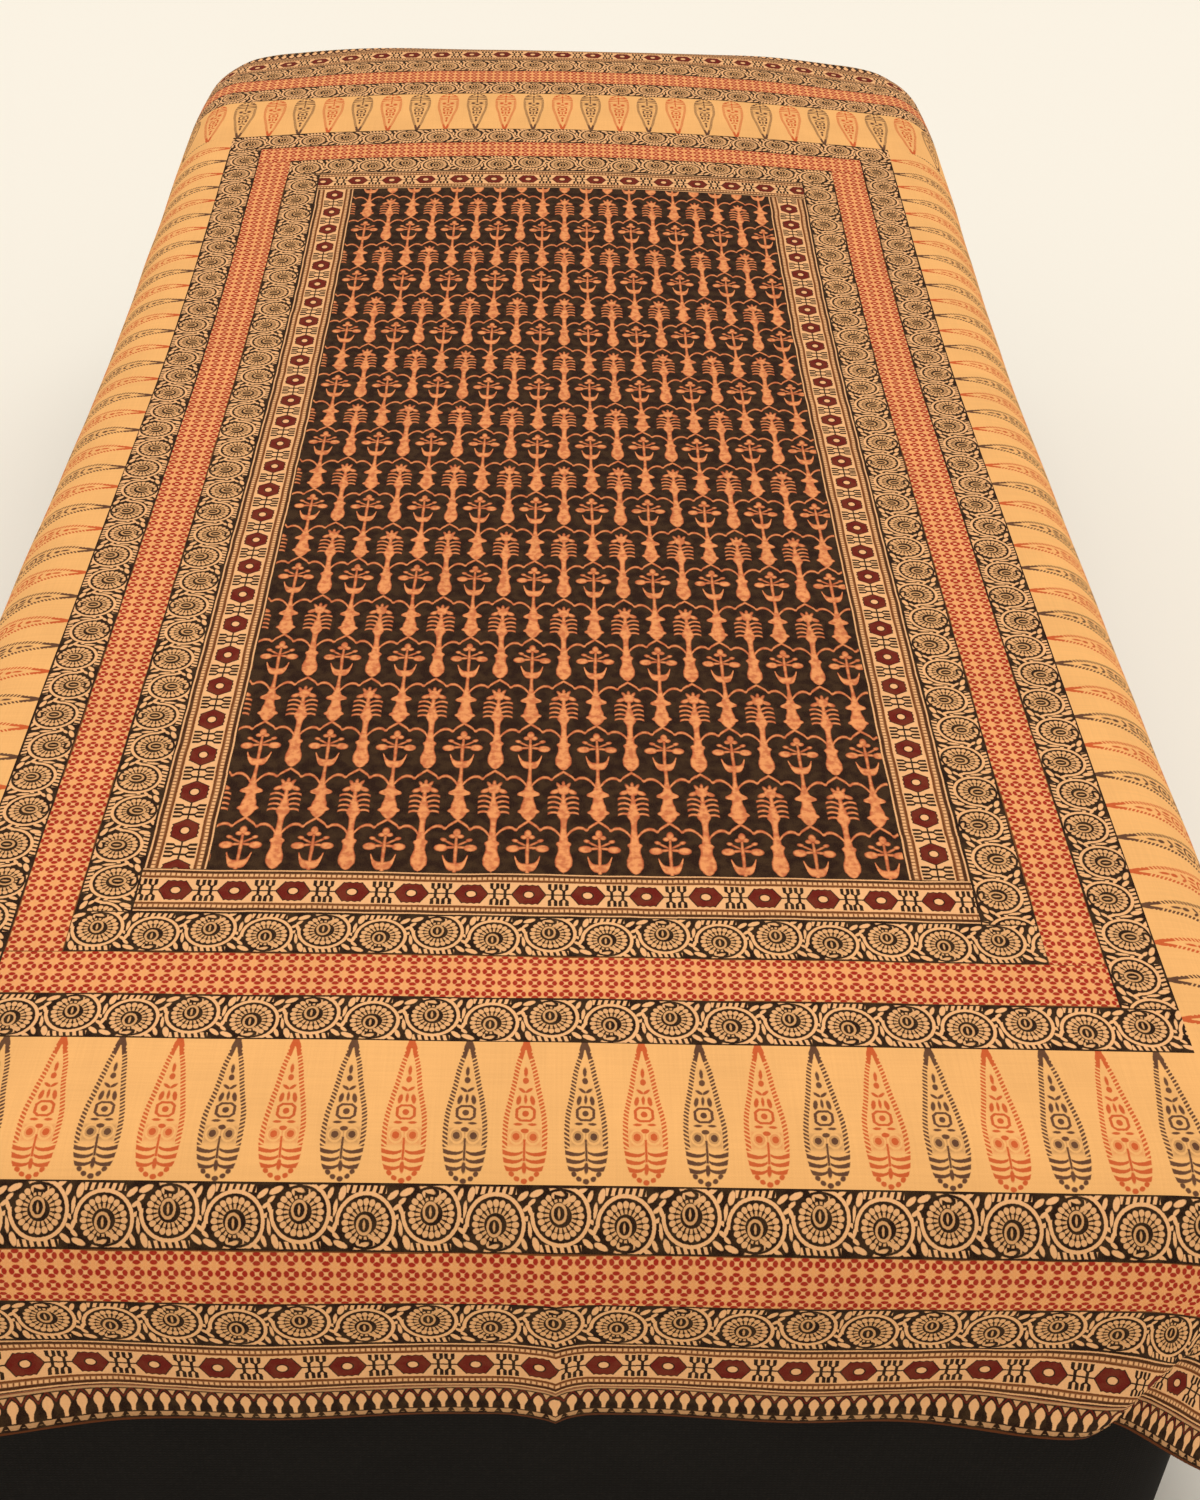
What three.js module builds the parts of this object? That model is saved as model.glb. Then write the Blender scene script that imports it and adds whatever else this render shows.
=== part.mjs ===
// A block printed cotton bed sheet, spread over a plain black mattress on its base.
// Millimetres, +Z up. X runs across the bed and Y along it, with the head end at +Y.
// The origin is on the floor, under the middle of the base.
import * as THREE from 'three';

// Driving dimensions
const SHEET = { width: 1524, length: 2286, thickness: 2 };
const BED = { width: 1044, length: 2128, cornerRadius: 127 };
const MATTRESS = { height: 200, topEdge: 67, bottomEdge: 30, seatGap: 0.3 };
const BASE = { height: 250, inset: 20, edge: 12 };
const CROWN = { dome: 3, headRise: 60, riseFrom: 30, riseTo: 1075 };
const HEAD_CORNERS = { droop: 20, fromX: 250, fromY: 780 };
const LAY = {
  towardFoot: 94, askew: 0.005, restGap: 0.8, cornerLift: 3, edgeClear: 2.4,
  headBow: 44, bowMiddle: 22, bowHalf: 443, bowLimit: 66, bowFrom: 32, bowTo: 937,
};

// Cells of the grids that the surfaces are made on
const CELLS = { across: 10, along: 24, border: 2, roll: 8, sideDrop: 7, footDrop: 5, headRoll: 7 };
const MATTRESS_CELLS = { across: CELLS.across, along: CELLS.along, arc: 8, topEdge: 6, bottomEdge: 2 };
const BASE_CELLS = { across: 1, along: 1, arc: 8, topEdge: 2, bottomEdge: 2 };

// Folds that fan out from the corners. angle is in the cloth, in degrees: 0 runs straight down
// the end of the bed and 90 straight down its side. side and end are how far the fold leans
// out over each of those two faces, for each millimetre of its length.
const FRONT_RIGHT_FOLDS = [
  { fold: 'end panel lies plain', angle: -60, side: 0, end: 0 },
  { fold: 'ridge on the end panel', angle: -40, side: -0.01, end: 0.085 },
  { fold: 'valley beside the corner', angle: -29, side: -0.07, end: 0.01 },
  { fold: 'rise to the corner flute', angle: 2, side: 0.02, end: 0.22 },
  { fold: 'crest of the corner flute', angle: 44, side: 0.42, end: 0.42 },
  { fold: 'fall from the corner flute', angle: 78, side: 0.22, end: 0.06 },
  { fold: 'valley on the side panel', angle: 104, side: 0.03, end: -0.05 },
  { fold: 'ridge on the side panel', angle: 128, side: 0.12, end: 0 },
  { fold: 'side panel hangs plain', angle: 154, side: 0, end: 0 },
];
const FRONT_LEFT_FOLDS = [
  { fold: 'end panel lies plain', angle: -60, side: 0, end: 0 },
  { fold: 'ridge on the end panel', angle: -28, side: 0, end: 0.17 },
  { fold: 'valley beside the corner', angle: -12, side: -0.06, end: 0.06 },
  { fold: 'rise to the corner flute', angle: 14, side: 0.06, end: 0.24 },
  { fold: 'crest of the corner flute', angle: 46, side: 0.38, end: 0.46 },
  { fold: 'fall from the corner flute', angle: 76, side: 0.26, end: 0.1 },
  { fold: 'valley on the side panel', angle: 100, side: 0.03, end: -0.04 },
  { fold: 'ridge on the side panel', angle: 122, side: 0.1, end: 0 },
  { fold: 'side panel hangs plain', angle: 150, side: 0, end: 0 },
];
const HEAD_RIGHT_FOLDS = [
  { fold: 'head panel lies plain', angle: 10, side: 0, end: 0 },
  { fold: 'rise to the head flute', angle: 44, side: 0.08, end: 0.03 },
  { fold: 'crest of the head flute', angle: 82, side: 0.26, end: 0.04 },
  { fold: 'valley on the side panel', angle: 108, side: 0.03, end: -0.03 },
  { fold: 'ridge on the side panel', angle: 130, side: 0.1, end: 0 },
  { fold: 'side panel hangs plain', angle: 154, side: 0, end: 0 },
];
const HEAD_LEFT_FOLDS = [
  { fold: 'head panel lies plain', angle: 12, side: 0, end: 0 },
  { fold: 'rise to the head flute', angle: 48, side: 0.09, end: 0.02 },
  { fold: 'crest of the head flute', angle: 86, side: 0.24, end: 0.03 },
  { fold: 'valley on the side panel', angle: 112, side: 0.03, end: -0.02 },
  { fold: 'ridge on the side panel', angle: 134, side: 0.09, end: 0 },
  { fold: 'side panel hangs plain', angle: 156, side: 0, end: 0 },
];
const CORNERS = [
  { across: 1, along: -1, folds: FRONT_RIGHT_FOLDS },
  { across: -1, along: -1, folds: FRONT_LEFT_FOLDS },
  { across: 1, along: 1, folds: HEAD_RIGHT_FOLDS },
  { across: -1, along: 1, folds: HEAD_LEFT_FOLDS },
];
// The folds start this far out from the middle of the round corner, and deepen over this length
const FOLD_APEX = { out: 120, growth: 60 };

// Soft folds down the long sides: place along the bed, half width, and how far the hem stands out
const RIGHT_SIDE_FOLDS = [
  { place: -640, half: 150, out: 20 },
  { place: -330, half: 120, out: 12 },
  { place: -20, half: 170, out: 22 },
  { place: 330, half: 130, out: 14 },
  { place: 640, half: 150, out: 19 },
];
const LEFT_SIDE_FOLDS = [
  { place: -600, half: 140, out: 15 },
  { place: -250, half: 160, out: 23 },
  { place: 110, half: 120, out: 12 },
  { place: 420, half: 150, out: 20 },
  { place: 720, half: 110, out: 11 },
];
// The pressed centre crease shows as a narrow ridge on the foot panel
const FOOT_FOLDS = [
  { place: 0, half: 34, out: 7 },
  { place: -190, half: 120, out: 6 },
  { place: 170, half: 110, out: 5 },
];
const SIDE_FOLD_START = 110;

const degrees = THREE.MathUtils.degToRad;
const clamp = THREE.MathUtils.clamp;
const smoothstep = THREE.MathUtils.smoothstep;

// The middle rectangle of the bed's plan, to whose corners the round corners are centred
const CORE = { x: BED.width / 2 - BED.cornerRadius, y: BED.length / 2 - BED.cornerRadius };
const BORDER = BED.cornerRadius - MATTRESS.topEdge;
const BED_TOP = BASE.height + MATTRESS.seatGap + MATTRESS.height;

function crownHeight(x, y) {
  const across = clamp(Math.abs(x) / (BED.width / 2), 0, 1);
  const droop = smoothstep(Math.abs(x), HEAD_CORNERS.fromX, BED.width / 2)
    * smoothstep(y, HEAD_CORNERS.fromY, BED.length / 2);
  return CROWN.dome * (1 - across * across) + CROWN.headRise * smoothstep(y, CROWN.riseFrom, CROWN.riseTo)
    - HEAD_CORNERS.droop * droop;
}

// Where a point of the cloth lies, unrolled flat at (s, t): level inside the border, round the
// top edge on an arc, then straight down. The lift off the bed grows in the round corners.
function unrolledToBed(s, t) {
  const coreX = clamp(s, -CORE.x, CORE.x);
  const coreY = clamp(t, -CORE.y, CORE.y);
  const offset = new THREE.Vector2(s - coreX, t - coreY);
  const distance = offset.length();
  const cornering = clamp(Math.abs(offset.x) / BORDER, 0, 1) * clamp(Math.abs(offset.y) / BORDER, 0, 1);
  const lift = LAY.restGap + LAY.cornerLift * cornering;
  const edgeRadius = MATTRESS.topEdge + LAY.edgeClear;
  const turn = clamp((distance - BORDER) / edgeRadius, 0, Math.PI / 2);
  const straight = Math.max(0, distance - BORDER - edgeRadius * Math.PI / 2);
  const reach = Math.min(distance, BORDER) + (edgeRadius + lift) * Math.sin(turn);
  const drop = edgeRadius * (1 - Math.cos(turn)) + straight - lift * Math.cos(turn);
  const direction = offset.divideScalar(Math.max(distance, 1));
  const x = coreX + direction.x * reach;
  const y = coreY + direction.y * reach;
  return new THREE.Vector3(x, y, BED_TOP + crownHeight(x, y) - drop);
}

// A smooth curve through one column of a fold table
function foldColumn(folds, angle, column) {
  if (angle <= folds[0].angle || angle >= folds[folds.length - 1].angle) return 0;
  const next = folds.findIndex((row) => row.angle > angle);
  const slopeAt = (i) => {
    if (i === 0 || i === folds.length - 1) return 0;
    return (folds[i + 1][column] - folds[i - 1][column]) / (folds[i + 1].angle - folds[i - 1].angle);
  };
  const from = folds[next - 1];
  const to = folds[next];
  const span = to.angle - from.angle;
  const f = (angle - from.angle) / span;
  return (2 * f ** 3 - 3 * f ** 2 + 1) * from[column]
    + (f ** 3 - 2 * f ** 2 + f) * span * slopeAt(next - 1)
    + (3 * f ** 2 - 2 * f ** 3) * to[column]
    + (f ** 3 - f ** 2) * span * slopeAt(next);
}

function addCornerFolds(point, s, t) {
  for (const corner of CORNERS) {
    const beyondX = s * corner.across - CORE.x - FOLD_APEX.out;
    const beyondY = t * corner.along - CORE.y - FOLD_APEX.out;
    const distance = Math.hypot(beyondX, beyondY);
    const length = distance * distance / (distance + FOLD_APEX.growth);
    const angle = THREE.MathUtils.radToDeg(Math.atan2(beyondX, beyondY));
    const side = foldColumn(corner.folds, angle, 'side');
    const end = foldColumn(corner.folds, angle, 'end');
    point.x += corner.across * side * length;
    point.y += corner.along * end * length;
    point.z += length * (1 - Math.sqrt(1 - side * side - end * end));
  }
}

function hangingFold(folds, place) {
  let out = 0;
  for (const fold of folds) {
    const away = Math.abs(place - fold.place) / fold.half;
    if (away < 1) out += fold.out * (1 - smoothstep(away, 0, 1));
  }
  return out;
}

function addHangingFolds(point, s, t) {
  const pastSide = Math.abs(s) - CORE.x;
  const pastFoot = -t - CORE.y;
  const sideHem = SHEET.width / 2 - CORE.x;
  const footHem = SHEET.length / 2 + LAY.towardFoot - CORE.y;
  const sideFolds = s > 0 ? RIGHT_SIDE_FOLDS : LEFT_SIDE_FOLDS;
  point.x += Math.sign(s) * hangingFold(sideFolds, t) * smoothstep(pastSide, SIDE_FOLD_START, sideHem);
  point.y -= hangingFold(FOOT_FOLDS, s) * smoothstep(pastFoot, SIDE_FOLD_START, footHem);
}

// Where the underside of the cloth lies, for the point (u, v) of the flat sheet, measured from
// its middle. Towards the head the cloth is pulled back in a bow, most on the right.
function clothUnderside(u, v) {
  const bowed = LAY.headBow * ((u - LAY.bowMiddle) / LAY.bowHalf) ** 2;
  const s = u - LAY.askew * v;
  const t = v - LAY.towardFoot - LAY.askew * u
    - Math.min(bowed, LAY.bowLimit) * smoothstep(v, LAY.bowFrom, LAY.bowTo);
  const point = unrolledToBed(s, t);
  addHangingFolds(point, s, t);
  addCornerFolds(point, s, t);
  return point;
}

function clothNormal(u, v) {
  const step = 2;
  const across = clothUnderside(u + step, v).sub(clothUnderside(u - step, v));
  const along = clothUnderside(u, v + step).sub(clothUnderside(u, v - step));
  return across.cross(along).normalize();
}

// Places from one value to another in equal cells, without the last one
function cellsUpTo(from, to, cells) {
  return Array.from({ length: cells }, (_, i) => from + (to - from) * i / cells);
}

const rollLength = (MATTRESS.topEdge + LAY.edgeClear) * Math.PI / 2;

function sheetPlacesAcross() {
  const hem = SHEET.width / 2;
  const rollEnd = CORE.x + BORDER + rollLength;
  const rollStart = CORE.x + BORDER;
  const creaseHalf = FOOT_FOLDS[0].half;
  const rightHalf = [
    0,
    creaseHalf,
    ...cellsUpTo(creaseHalf * 3, CORE.x, CELLS.across / 2 - 1),
    ...cellsUpTo(CORE.x, rollStart, CELLS.border),
    ...cellsUpTo(rollStart, rollEnd, CELLS.roll),
    ...cellsUpTo(rollEnd, hem, CELLS.sideDrop),
    hem,
  ];
  const leftHalf = rightHalf.slice(1).reverse().map((place) => -place);
  return [...leftHalf, ...rightHalf];
}

function sheetPlacesAlong() {
  const hem = SHEET.length / 2;
  const footRollStart = -CORE.y - BORDER + LAY.towardFoot;
  const headRollStart = CORE.y + BORDER + LAY.towardFoot;
  return [
    ...cellsUpTo(-hem, footRollStart - rollLength, CELLS.footDrop),
    ...cellsUpTo(footRollStart - rollLength, footRollStart, CELLS.roll),
    ...cellsUpTo(footRollStart, footRollStart + BORDER, CELLS.border),
    ...cellsUpTo(footRollStart + BORDER, headRollStart - BORDER, CELLS.along),
    ...cellsUpTo(headRollStart - BORDER, headRollStart, CELLS.border),
    ...cellsUpTo(headRollStart, hem, CELLS.headRoll),
    hem,
  ];
}

function meshFrom(name, points, triangles, material) {
  const geometry = new THREE.BufferGeometry();
  const positions = points.flatMap((point) => [point.x, point.y, point.z]);
  geometry.setAttribute('position', new THREE.Float32BufferAttribute(positions, 3));
  geometry.setIndex(triangles.flat());
  geometry.computeVertexNormals();
  const mesh = new THREE.Mesh(geometry, material);
  mesh.name = name;
  return mesh;
}

function addQuad(triangles, a, b, c, d) {
  triangles.push([a, b, c], [a, c, d]);
}

// The cloth as one closed skin: its top, its underside and the strip along its hem
function makeBedSheet(material) {
  const across = sheetPlacesAcross();
  const along = sheetPlacesAlong();
  const points = [];
  for (const v of along) {
    for (const u of across) {
      const under = clothUnderside(u, v);
      points.push(under, under.clone().addScaledVector(clothNormal(u, v), SHEET.thickness));
    }
  }
  const under = (i, j) => 2 * (j * across.length + i);
  const top = (i, j) => under(i, j) + 1;
  const triangles = [];
  const lastI = across.length - 1;
  const lastJ = along.length - 1;
  for (let j = 0; j < lastJ; j += 1) {
    for (let i = 0; i < lastI; i += 1) {
      addQuad(triangles, top(i, j), top(i + 1, j), top(i + 1, j + 1), top(i, j + 1));
      addQuad(triangles, under(i, j), under(i, j + 1), under(i + 1, j + 1), under(i + 1, j));
    }
    addQuad(triangles, top(lastI, j), under(lastI, j), under(lastI, j + 1), top(lastI, j + 1));
    addQuad(triangles, under(0, j), top(0, j), top(0, j + 1), under(0, j + 1));
  }
  for (let i = 0; i < lastI; i += 1) {
    addQuad(triangles, under(i, 0), under(i + 1, 0), top(i + 1, 0), top(i, 0));
    addQuad(triangles, top(i, lastJ), top(i + 1, lastJ), under(i + 1, lastJ), under(i, lastJ));
  }
  return meshFrom('bed_sheet', points, triangles, material);
}

// The four straight sides of the plan, each after the round corner that leads into it
const PLAN_SIDES = [
  { from: [1, -1], to: [1, 1], out: [1, 0], firstAngle: -90, cells: 'along' },
  { from: [1, 1], to: [-1, 1], out: [0, 1], firstAngle: 0, cells: 'across' },
  { from: [-1, 1], to: [-1, -1], out: [-1, 0], firstAngle: 90, cells: 'along' },
  { from: [-1, -1], to: [1, -1], out: [0, -1], firstAngle: 180, cells: 'across' },
];

// The outline of the bed's plan, drawn in from its faces, as points in order
function planOutline(inset, cells) {
  const radius = BED.cornerRadius - inset;
  const outline = [];
  for (const side of PLAN_SIDES) {
    const from = new THREE.Vector2(side.from[0] * CORE.x, side.from[1] * CORE.y);
    const to = new THREE.Vector2(side.to[0] * CORE.x, side.to[1] * CORE.y);
    const out = new THREE.Vector2(...side.out).multiplyScalar(radius);
    for (let i = 0; i < cells.arc; i += 1) {
      const angle = degrees(side.firstAngle + 90 * i / cells.arc);
      outline.push(new THREE.Vector2(Math.cos(angle), Math.sin(angle)).multiplyScalar(radius).add(from));
    }
    for (let i = 0; i < cells[side.cells]; i += 1) {
      outline.push(from.clone().lerp(to, i / cells[side.cells]).add(out));
    }
  }
  return outline;
}

// A quarter round as rows of inset and height, from its level end to its upright end
function edgeRows(radius, height, upwards, cells) {
  return Array.from({ length: cells + 1 }, (_, i) => {
    const angle = Math.PI / 2 * i / cells;
    return { inset: radius * (1 - Math.sin(angle)), height: height + upwards * radius * (1 - Math.cos(angle)) };
  });
}

function addRing(points, outline, heightAt) {
  const first = points.length;
  for (const place of outline) points.push(new THREE.Vector3(place.x, place.y, heightAt(place)));
  return { first, count: outline.length };
}

function joinRings(triangles, lower, upper) {
  for (let i = 0; i < lower.count; i += 1) {
    const next = (i + 1) % lower.count;
    addQuad(triangles, lower.first + i, lower.first + next, upper.first + next, upper.first + i);
  }
}

// A level face, as a fan from the middle of the plan to a ring
function addLevelCap(points, triangles, ring, height, facesUp) {
  const middle = points.length;
  points.push(new THREE.Vector3(0, 0, height));
  for (let i = 0; i < ring.count; i += 1) {
    const here = ring.first + i;
    const next = ring.first + (i + 1) % ring.count;
    triangles.push(facesUp ? [middle, here, next] : [middle, next, here]);
  }
}

// The crowned top: a grid over the core rectangle, with strips and corner fans out to a ring
function addCrownedCap(points, triangles, ring, topAt, cells) {
  const first = points.length;
  for (let j = 0; j <= cells.along; j += 1) {
    for (let i = 0; i <= cells.across; i += 1) {
      const place = new THREE.Vector2(CORE.x * (2 * i / cells.across - 1), CORE.y * (2 * j / cells.along - 1));
      points.push(new THREE.Vector3(place.x, place.y, topAt(place)));
    }
  }
  const grid = (i, j) => first + j * (cells.across + 1) + i;
  const rim = (k) => ring.first + k % ring.count;
  for (let j = 0; j < cells.along; j += 1) {
    for (let i = 0; i < cells.across; i += 1) {
      addQuad(triangles, grid(i, j), grid(i + 1, j), grid(i + 1, j + 1), grid(i, j + 1));
    }
  }
  const innerEdges = [
    (k) => grid(cells.across, k),
    (k) => grid(cells.across - k, cells.along),
    (k) => grid(0, cells.along - k),
    (k) => grid(k, 0),
  ];
  let k = 0;
  PLAN_SIDES.forEach((side, edge) => {
    const inner = innerEdges[edge];
    for (let i = 0; i < cells.arc; i += 1) triangles.push([inner(0), rim(k + i), rim(k + i + 1)]);
    k += cells.arc;
    for (let i = 0; i < cells[side.cells]; i += 1) {
      addQuad(triangles, rim(k + i), rim(k + i + 1), inner(i + 1), inner(i));
    }
    k += cells[side.cells];
  });
}

// A block with the bed's plan: a quarter round at its foot, straight sides, one at its top
function makeBedBlock(name, size, cells, material) {
  const points = [];
  const triangles = [];
  const ringAt = (row, heightAt) => addRing(points, planOutline(size.inset + row.inset, cells), heightAt);
  const lowerRows = edgeRows(size.bottomEdge, size.bottom, 1, cells.bottomEdge);
  const upperRows = edgeRows(size.topEdge, 0, -1, cells.topEdge).reverse();
  const rings = [
    ...lowerRows.map((row) => ringAt(row, () => row.height)),
    ...upperRows.map((row) => ringAt(row, (place) => size.topAt(place) + row.height)),
  ];
  for (let i = 1; i < rings.length; i += 1) joinRings(triangles, rings[i - 1], rings[i]);
  addLevelCap(points, triangles, rings[0], size.bottom, false);
  const topRing = rings[rings.length - 1];
  if (size.crowned) addCrownedCap(points, triangles, topRing, size.topAt, cells);
  else addLevelCap(points, triangles, topRing, size.topAt(), true);
  return meshFrom(name, points, triangles, material);
}

const sheetCotton = new THREE.MeshStandardMaterial({ color: 0xb98a4c, roughness: 0.9, metalness: 0 });
const blackCover = new THREE.MeshStandardMaterial({ color: 0x14120f, roughness: 0.95, metalness: 0 });

const bed = new THREE.Group();
bed.add(makeBedSheet(sheetCotton));
bed.add(makeBedBlock('mattress', {
  inset: 0,
  bottom: BASE.height + MATTRESS.seatGap,
  bottomEdge: MATTRESS.bottomEdge,
  topEdge: MATTRESS.topEdge,
  topAt: (place) => BED_TOP + crownHeight(place.x, place.y),
  crowned: true,
}, MATTRESS_CELLS, blackCover));
bed.add(makeBedBlock('bed_base', {
  inset: BASE.inset,
  bottom: 0,
  bottomEdge: BASE.edge,
  topEdge: BASE.edge,
  topAt: () => BASE.height,
  crowned: false,
}, BASE_CELLS, blackCover));

export default bed;
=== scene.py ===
"""Block printed cotton sheet, spread over a black mattress on its base.

Lengths are in metres, and the printed patterns are drawn in millimetres of the flat cloth.
u runs across the flat sheet and v along it towards the head end, both from its middle.
"""

import math
from collections import namedtuple

import bpy
import numpy as np
from mathutils import Matrix, Vector


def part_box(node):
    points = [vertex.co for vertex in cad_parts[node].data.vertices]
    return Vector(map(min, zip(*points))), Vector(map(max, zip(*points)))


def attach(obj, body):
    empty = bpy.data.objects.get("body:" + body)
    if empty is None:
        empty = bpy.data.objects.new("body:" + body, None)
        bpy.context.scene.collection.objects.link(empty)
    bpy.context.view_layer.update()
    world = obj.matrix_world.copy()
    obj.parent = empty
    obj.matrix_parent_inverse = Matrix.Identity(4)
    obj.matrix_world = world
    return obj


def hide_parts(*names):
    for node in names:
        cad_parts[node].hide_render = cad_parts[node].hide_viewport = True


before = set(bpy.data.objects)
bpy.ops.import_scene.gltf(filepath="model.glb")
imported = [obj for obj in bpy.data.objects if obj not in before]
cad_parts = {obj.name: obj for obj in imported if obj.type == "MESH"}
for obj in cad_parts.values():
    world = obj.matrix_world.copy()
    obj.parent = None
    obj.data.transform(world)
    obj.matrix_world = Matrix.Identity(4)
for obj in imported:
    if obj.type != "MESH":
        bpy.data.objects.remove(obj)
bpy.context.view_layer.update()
BODY = "root"
MM = 0.001

bl_info = {
    "name": "Printed bed sheet",
    "version": (1, 0, 0),
    "blender": (4, 5, 0),
    "location": "3D View > Sidebar > Bed sheet",
    "description": "Builds a block printed cotton sheet spread over a black mattress on its base",
    "category": "Object",
}

# The bed, as in the part's own source

MATTRESS_NODE_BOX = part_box("mattress")
BASE_NODE_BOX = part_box("bed_base")
BED_HALF_WIDTH = MATTRESS_NODE_BOX[1][0]
BED_HALF_LENGTH = MATTRESS_NODE_BOX[1][1]
CORNER_RADIUS = 0.127
TOP_EDGE = 0.067
MATTRESS_BOTTOM_EDGE = 0.030
BASE_EDGE = 0.012
BASE_INSET = BED_HALF_WIDTH - BASE_NODE_BOX[1][0]
MATTRESS_BOTTOM = MATTRESS_NODE_BOX[0][2]
BED_TOP = MATTRESS_BOTTOM + 0.200
CORE_X = BED_HALF_WIDTH - CORNER_RADIUS
CORE_Y = BED_HALF_LENGTH - CORNER_RADIUS
BORDER = CORNER_RADIUS - TOP_EDGE

Crown = namedtuple("Crown", "dome head_rise rise_from rise_to droop droop_from_x droop_from_y")
CROWN = Crown(0.003, 0.060, 0.030, 1.075, 0.020, 0.250, 0.780)

Lay = namedtuple("Lay", "toward_foot askew rest_gap corner_lift edge_clear")
LAY = Lay(0.094, 0.005, 0.0008, 0.003, 0.0024)

Bow = namedtuple("Bow", "depth middle half limit start end")
HEAD_BOW = Bow(0.044, 0.022, 0.443, 0.066, 0.032, 0.937)


def table(kind, *rows):
    return tuple(kind(*row) for row in rows)


# Folds that fan out from the corners. angle is in degrees, 0 straight down the end of the bed and
# 90 straight down its side; side and end are the lean out over each face for each unit of length.

CornerFold = namedtuple("CornerFold", "angle side end")
FRONT_RIGHT_FOLDS = table(
    CornerFold,
    (-60, 0.00, 0.000), (-40, -0.01, 0.085), (-29, -0.07, 0.010), (2, 0.02, 0.220), (44, 0.42, 0.420),
    (78, 0.22, 0.060), (104, 0.03, -0.050), (128, 0.12, 0.000), (154, 0.00, 0.000),
)
FRONT_LEFT_FOLDS = table(
    CornerFold,
    (-60, 0.00, 0.000), (-28, 0.00, 0.170), (-12, -0.06, 0.060), (14, 0.06, 0.240), (46, 0.38, 0.460),
    (76, 0.26, 0.100), (100, 0.03, -0.040), (122, 0.10, 0.000), (150, 0.00, 0.000),
)
HEAD_RIGHT_FOLDS = table(
    CornerFold,
    (10, 0.00, 0.000), (44, 0.08, 0.030), (82, 0.26, 0.040), (108, 0.03, -0.030), (130, 0.10, 0.000),
    (154, 0.00, 0.000),
)
HEAD_LEFT_FOLDS = table(
    CornerFold,
    (12, 0.00, 0.000), (48, 0.09, 0.020), (86, 0.24, 0.030), (112, 0.03, -0.020), (134, 0.09, 0.000),
    (156, 0.00, 0.000),
)
Corner = namedtuple("Corner", "across along folds")
CORNERS = (
    Corner(1, -1, FRONT_RIGHT_FOLDS),
    Corner(-1, -1, FRONT_LEFT_FOLDS),
    Corner(1, 1, HEAD_RIGHT_FOLDS),
    Corner(-1, 1, HEAD_LEFT_FOLDS),
)
FOLD_APEX_OUT = 0.120
FOLD_GROWTH = 0.060

# Soft folds down the hanging panels: place along the bed, half width, how far the hem stands out

HangingFold = namedtuple("HangingFold", "place half out")
RIGHT_SIDE_FOLDS = table(
    HangingFold,
    (-0.640, 0.150, 0.020), (-0.330, 0.120, 0.012), (-0.020, 0.170, 0.022), (0.330, 0.130, 0.014),
    (0.640, 0.150, 0.019),
)
LEFT_SIDE_FOLDS = table(
    HangingFold,
    (-0.600, 0.140, 0.015), (-0.250, 0.160, 0.023), (0.110, 0.120, 0.012), (0.420, 0.150, 0.020),
    (0.720, 0.110, 0.011),
)
FOOT_FOLDS = table(
    HangingFold,
    (0.000, 0.034, 0.003), (-0.190, 0.120, 0.006), (0.170, 0.110, 0.005),
)
FOLD_START = 0.110

# The print, as bands from the field out to the hem, with their widths in millimetres

Band = namedtuple("Band", "name kind width")
BANDS = (
    Band("inner_rosettes", "rosettes", 47.6),
    Band("first_scroll", "scroll", 41.9),
    Band("inner_lattice", "lattice", 42.0),
    Band("second_scroll", "scroll", 42.0),
    Band("cypresses", "cypress", 116.2),
    Band("third_scroll", "scroll", 42.0),
    Band("outer_lattice", "lattice", 42.0),
    Band("fourth_scroll", "scroll", 41.9),
    Band("outer_rosettes", "rosettes", 47.6),
    Band("hem_cones", "cones", 33.2),
)
SCROLL_PITCH = 41.4
ROSETTE_PITCH = 44.0
CYPRESS_PITCH = 39.4
LATTICE_PITCH = 10.9
CONE_PITCH = 11.0
NOMINAL_PITCH = {
    "rosettes": ROSETTE_PITCH,
    "scroll": SCROLL_PITCH,
    "lattice": LATTICE_PITCH,
    "cypress": CYPRESS_PITCH,
    "cones": CONE_PITCH,
}
# Where a first motif stands and how far apart they are, where the cloth shows it
Setting = namedtuple("Setting", "start pitch")
SETTINGS = {
    ("inner_rosettes", "foot"): Setting(21.9, 44.0),
    ("inner_rosettes", "left"): Setting(459.5, 47.4),
    ("first_scroll", "foot"): Setting(-5.8, 41.25),
    ("second_scroll", "foot"): Setting(-4.5, 41.5),
    ("cypresses", "foot"): Setting(-21.3, 39.36),
    ("third_scroll", "foot"): Setting(2.5, 41.4),
    ("fourth_scroll", "foot"): Setting(-0.5, 41.3),
    ("outer_rosettes", "foot"): Setting(-10.5, 42.7),
}


def smoothstep(values, start, end):
    share = np.clip((values - start) / (end - start), 0.0, 1.0)
    return share * share * (3.0 - 2.0 * share)


def crown_height(x, y):
    across = np.clip(np.abs(x) / BED_HALF_WIDTH, 0.0, 1.0)
    droop = smoothstep(np.abs(x), CROWN.droop_from_x, BED_HALF_WIDTH) * smoothstep(
        y, CROWN.droop_from_y, BED_HALF_LENGTH
    )
    rise = CROWN.head_rise * smoothstep(y, CROWN.rise_from, CROWN.rise_to)
    return CROWN.dome * (1.0 - across * across) + rise - CROWN.droop * droop


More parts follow.
